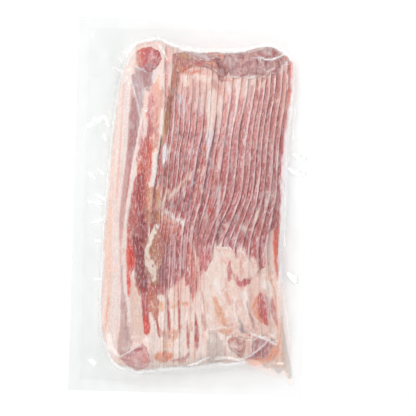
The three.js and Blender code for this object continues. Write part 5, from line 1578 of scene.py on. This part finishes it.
free = 0.035 + 0.14 * to_left + 0.02 * downward + 0.025 * mottle(grid_x / 7, grid_y / 14, 47)
free = free * blend(0.7, 1, smooth(SEAL_WIDTH - 1, SEAL_WIDTH + 1, inside))
# Painted highlights: small white flecks of sparkle in the film over the meat.
sparkle_flecks = mottle(grid_x / 1.6, grid_y / 3.4, 50) + 0.6 * mottle(grid_x / 7, grid_y / 11, 51)
snug = 0.01 + 0.01 * mottle(grid_x / 6, grid_y / 12, 46) + 0.04 * smooth(0.5, 1.6, lift)
snug = snug + 0.16 * smooth(0.25, 0.9, sparkle_flecks)
# Painted light round the meat: the white film tent hides the shade on the table at the pack's foot.
light_halo = smooth(0.0, 0.5, near) * (0.85 + 0.3 * mottle(grid_x / 5, grid_y / 5, 54))
broken = np.clip(0.6 + 0.9 * mottle(grid_x / 6, grid_y / 9, 52), 0.1, 1)
veil_share = blend(blend(free, snug, on_meat), LIGHT_HALO_VEIL, light_halo)
veil_share = blend(veil_share, RIM_LIGHT_VEIL, rim * broken)
# Painted highlights: the glints thicken the veil and make it white.
glints = strongest(GLINTS, 0.6) * (0.85 + 0.35 * mottle(grid_x / 2.5, grid_y / 2.5, 49))
veil_share = np.clip(np.maximum(veil_share, 0) + glints * (1 - veil_share), 0, MOST_VEIL)

# The painted light round the meat is whiter at the bottom and right, where the pack's shade falls.
shaded = np.maximum(smooth(-60, -130, grid_y), smooth(50, 80, grid_x))
edge_light = blend(0.5 + 0.35 * shaded, 0.28, to_left) * smooth(0, 0.08, near)
# Whiteness of the veil: half white over the meat for its painted flecks, and painted light at the rim.
veil_white = np.maximum(0.55 * on_meat, np.maximum(0.75 * rim, edge_light))
veil_white = np.clip(veil_white + GLINT_WHITENESS * glints, 0, 1)

stain = np.clip(strongest(STAINS, 4) * (0.9 + 0.4 * mottle(grid_x / 4, grid_y / 6, 53)), 0, 1)
veil_share = np.maximum(veil_share, STAIN_VEIL * np.sqrt(stain))
veil_white = np.maximum(veil_white, 0.9 * smooth(0, 0.16, stain))
haze_and_light = np.stack([veil_share, veil_white, np.clip(1.5 * np.sqrt(stain), 0, 1)], 1)
set_tints(bag_mesh, "haze_and_light", np.concatenate([haze_and_light, haze_and_light * (0, 1, 1)]))

# The haze and the painted light give the veil: how much it hides (red), how white it is (green), how
# stained (blue).
clear_film, tree, output = new_material("clear_film")
haze_and_light_read = add_node(tree, "ShaderNodeVertexColor", layer_name="haze_and_light")
place = add_node(tree, "ShaderNodeTexCoord")
wrinkle_map = add_node(
    tree, "ShaderNodeMapping", {"Vector": place.outputs["Object"], "Scale": (420, 120, 200)}
)
wrinkles = add_node(
    tree, "ShaderNodeTexNoise", {"Vector": wrinkle_map.outputs[0], "Scale": 1.0, "Detail": 4.0}
)
film_bump = add_node(
    tree, "ShaderNodeBump", {"Height": wrinkles.outputs["Fac"], "Strength": 0.35, "Distance": 0.0006}
)
veil_parts = add_node(tree, "ShaderNodeSeparateColor", {"Color": haze_and_light_read.outputs["Color"]})
veil_tone = add_node(
    tree, "ShaderNodeMix",
    {0: veil_parts.outputs["Green"], 6: GREY_VEIL, 7: PAINTED_LIGHT_VEIL}, data_type="RGBA",
)
veil_colour = add_node(
    tree, "ShaderNodeMix",
    {0: veil_parts.outputs["Blue"], 6: veil_tone.outputs[2], 7: STAINED_VEIL}, data_type="RGBA",
)
veil = add_node(
    tree, "ShaderNodeBsdfDiffuse", {"Color": veil_colour.outputs[2], "Normal": film_bump.outputs[0]}
)
veiled = over_clear(tree, veil_parts.outputs["Red"], veil)
gloss = add_node(tree, "ShaderNodeBsdfGlossy", {"Roughness": 0.16, "Normal": film_bump.outputs[0]})
facing = add_node(tree, "ShaderNodeLayerWeight", {"Blend": 0.5, "Normal": film_bump.outputs[0]})
grazing = add_node(tree, "ShaderNodeMath", {0: facing.outputs["Facing"], 1: 3.0}, operation="POWER")
sheen = add_node(tree, "ShaderNodeMapRange", {"Value": grazing.outputs[0], "To Min": 0.015, "To Max": 0.12})
film_surface = add_node(
    tree, "ShaderNodeMixShader", {0: sheen.outputs[0], 1: veiled.outputs[0], 2: gloss.outputs[0]}
)
tree.links.new(film_surface.outputs[0], output.inputs["Surface"])
bag_mesh.materials.append(clear_film)
film_bag = add_object("film_bag", bag_mesh)
part_of_pack(film_bag)


# ---- Creases in the film -----------------------------------------------------------------------
# Where the slack film is pinched it stands up in thin sharp creases that look white. Each is a
# narrow ridge that swells and runs out again, lying on the film along one of these lines.

CREASES = (
    [(-33, 135.5), (-29, 131), (-25.5, 127)],
    [(-54, 116.6), (-48, 116.4), (-43, 114.6), (-38.6, 111.6)],
    [(-4, 128), (1, 125), (7, 122), (13, 118.4), (19, 115.2), (25, 111.6)],
    [(0, 130), (4, 126), (10, 124)],
    [(11, 126.6), (15, 125), (19, 127.6), (24, 127)],
    [(56, 129), (59.6, 126.8), (66, 127), (70.6, 128.6), (74.6, 131)],
    [(70, 129), (72.6, 133), (75, 135.6)],
    [(52, 129.4), (56, 127), (58, 122)],
    [(76, 121), (79, 118), (80.6, 110), (79.8, 100)],
    [(-57.6, -130.6), (-50, -126), (-44, -122), (-38, -118)],
    [(4, -134), (12, -130.6), (19.5, -127), (24, -130)],
    [(46, -129), (52, -127), (57, -123.6), (62, -119.6), (67, -115.4)],
    [(48, -98), (52, -103), (57, -107), (62, -108.6), (70, -111), (79, -115)],
)
CREASE_SPACING = 1.5
CREASE_HALF_WIDTH = 0.34
CREASE_SIDES = 8
CREASE_SINK = 0.05


def crease_tree():
    """A round ridge along every line of a mesh, as thick as each point's own swell."""
    tree, given = geometry_tree("film_creases", {
        "Geometry": "Geometry", "Half Width": "Float", "Sides": "Int", "Finish": "Material",
    })
    swell = add_node(tree, "GeometryNodeInputNamedAttribute", {"Name": "swell"}, data_type="FLOAT")
    lines = add_node(tree, "GeometryNodeMeshToCurve", {"Mesh": given["Geometry"]})
    section = add_node(
        tree, "GeometryNodeCurvePrimitiveCircle",
        {"Resolution": given["Sides"], "Radius": given["Half Width"]},
    )
    ridges = add_node(
        tree, "GeometryNodeCurveToMesh",
        {
            "Curve": lines.outputs["Curve"], "Profile Curve": section.outputs["Curve"],
            "Scale": swell.outputs["Attribute"], "Fill Caps": True,
        },
    )
    rounded = add_node(
        tree, "GeometryNodeSetShadeSmooth", {"Geometry": ridges.outputs["Mesh"], "Shade Smooth": True}
    )
    return dress(tree, rounded.outputs[0], given["Finish"])


def line_mesh(name, lines):
    """A mesh of open lines of points, each point with its own swell."""
    mesh = bpy.data.meshes.new(name)
    points = np.concatenate([line for line, swell in lines])
    first = np.cumsum([0] + [len(line) for line, swell in lines])
    edges = [(k, k + 1) for a, b in zip(first, first[1:]) for k in range(a, b - 1)]
    mesh.from_pydata((points * MM).tolist(), edges, [])
    swells = mesh.attributes.new("swell", "FLOAT", "POINT")
    swells.data.foreach_set("value", np.concatenate([swell for line, swell in lines]).astype(np.float32))
    return mesh


def crease_line(places, seed):
    """A crease through its places, as points on the film with a swell that runs out at both ends."""
    places = np.array(places, float)
    run = np.concatenate([[0], np.cumsum(np.hypot(*np.diff(places, axis=0).T))])
    at = np.linspace(0, run[-1], max(6, int(run[-1] / CREASE_SPACING)))
    x, y = through(*zip(run, places[:, 0]))(at), through(*zip(run, places[:, 1]))(at)
    x = x + 0.5 * mottle(at / 4, seed, 61)
    y = y + 0.5 * mottle(at / 4, seed, 62)
    share = at / run[-1]
    swell = np.sqrt(np.clip(4 * share * (1 - share), 0, 1)) * (0.75 + 0.5 * mottle(at / 3, seed, 63)) + 0.12
    z = contents.read(x, y, film_top) - CREASE_SINK
    return np.stack([x, y, z], 1), swell


creased_film, tree, output = new_material("creased_film")
thick = patches(tree, 350.0, 3.0, 0.15, 0.75)
white = add_node(
    tree, "ShaderNodeBsdfPrincipled", {"Base Color": (0.93, 0.93, 0.94, 1), "Roughness": 0.25, "IOR": 1.45}
)
mixed = over_clear(tree, thick.outputs[0], white)
tree.links.new(mixed.outputs[0], output.inputs["Surface"])
ridge_lines = line_mesh("crease_lines", [crease_line(places, seed) for seed, places in enumerate(CREASES)])
film_creases = grow(
    add_object("film_creases", ridge_lines), crease_tree(),
    **{"Half Width": CREASE_HALF_WIDTH * MM, "Sides": CREASE_SIDES, "Finish": creased_film},
)
part_of_pack(film_creases)
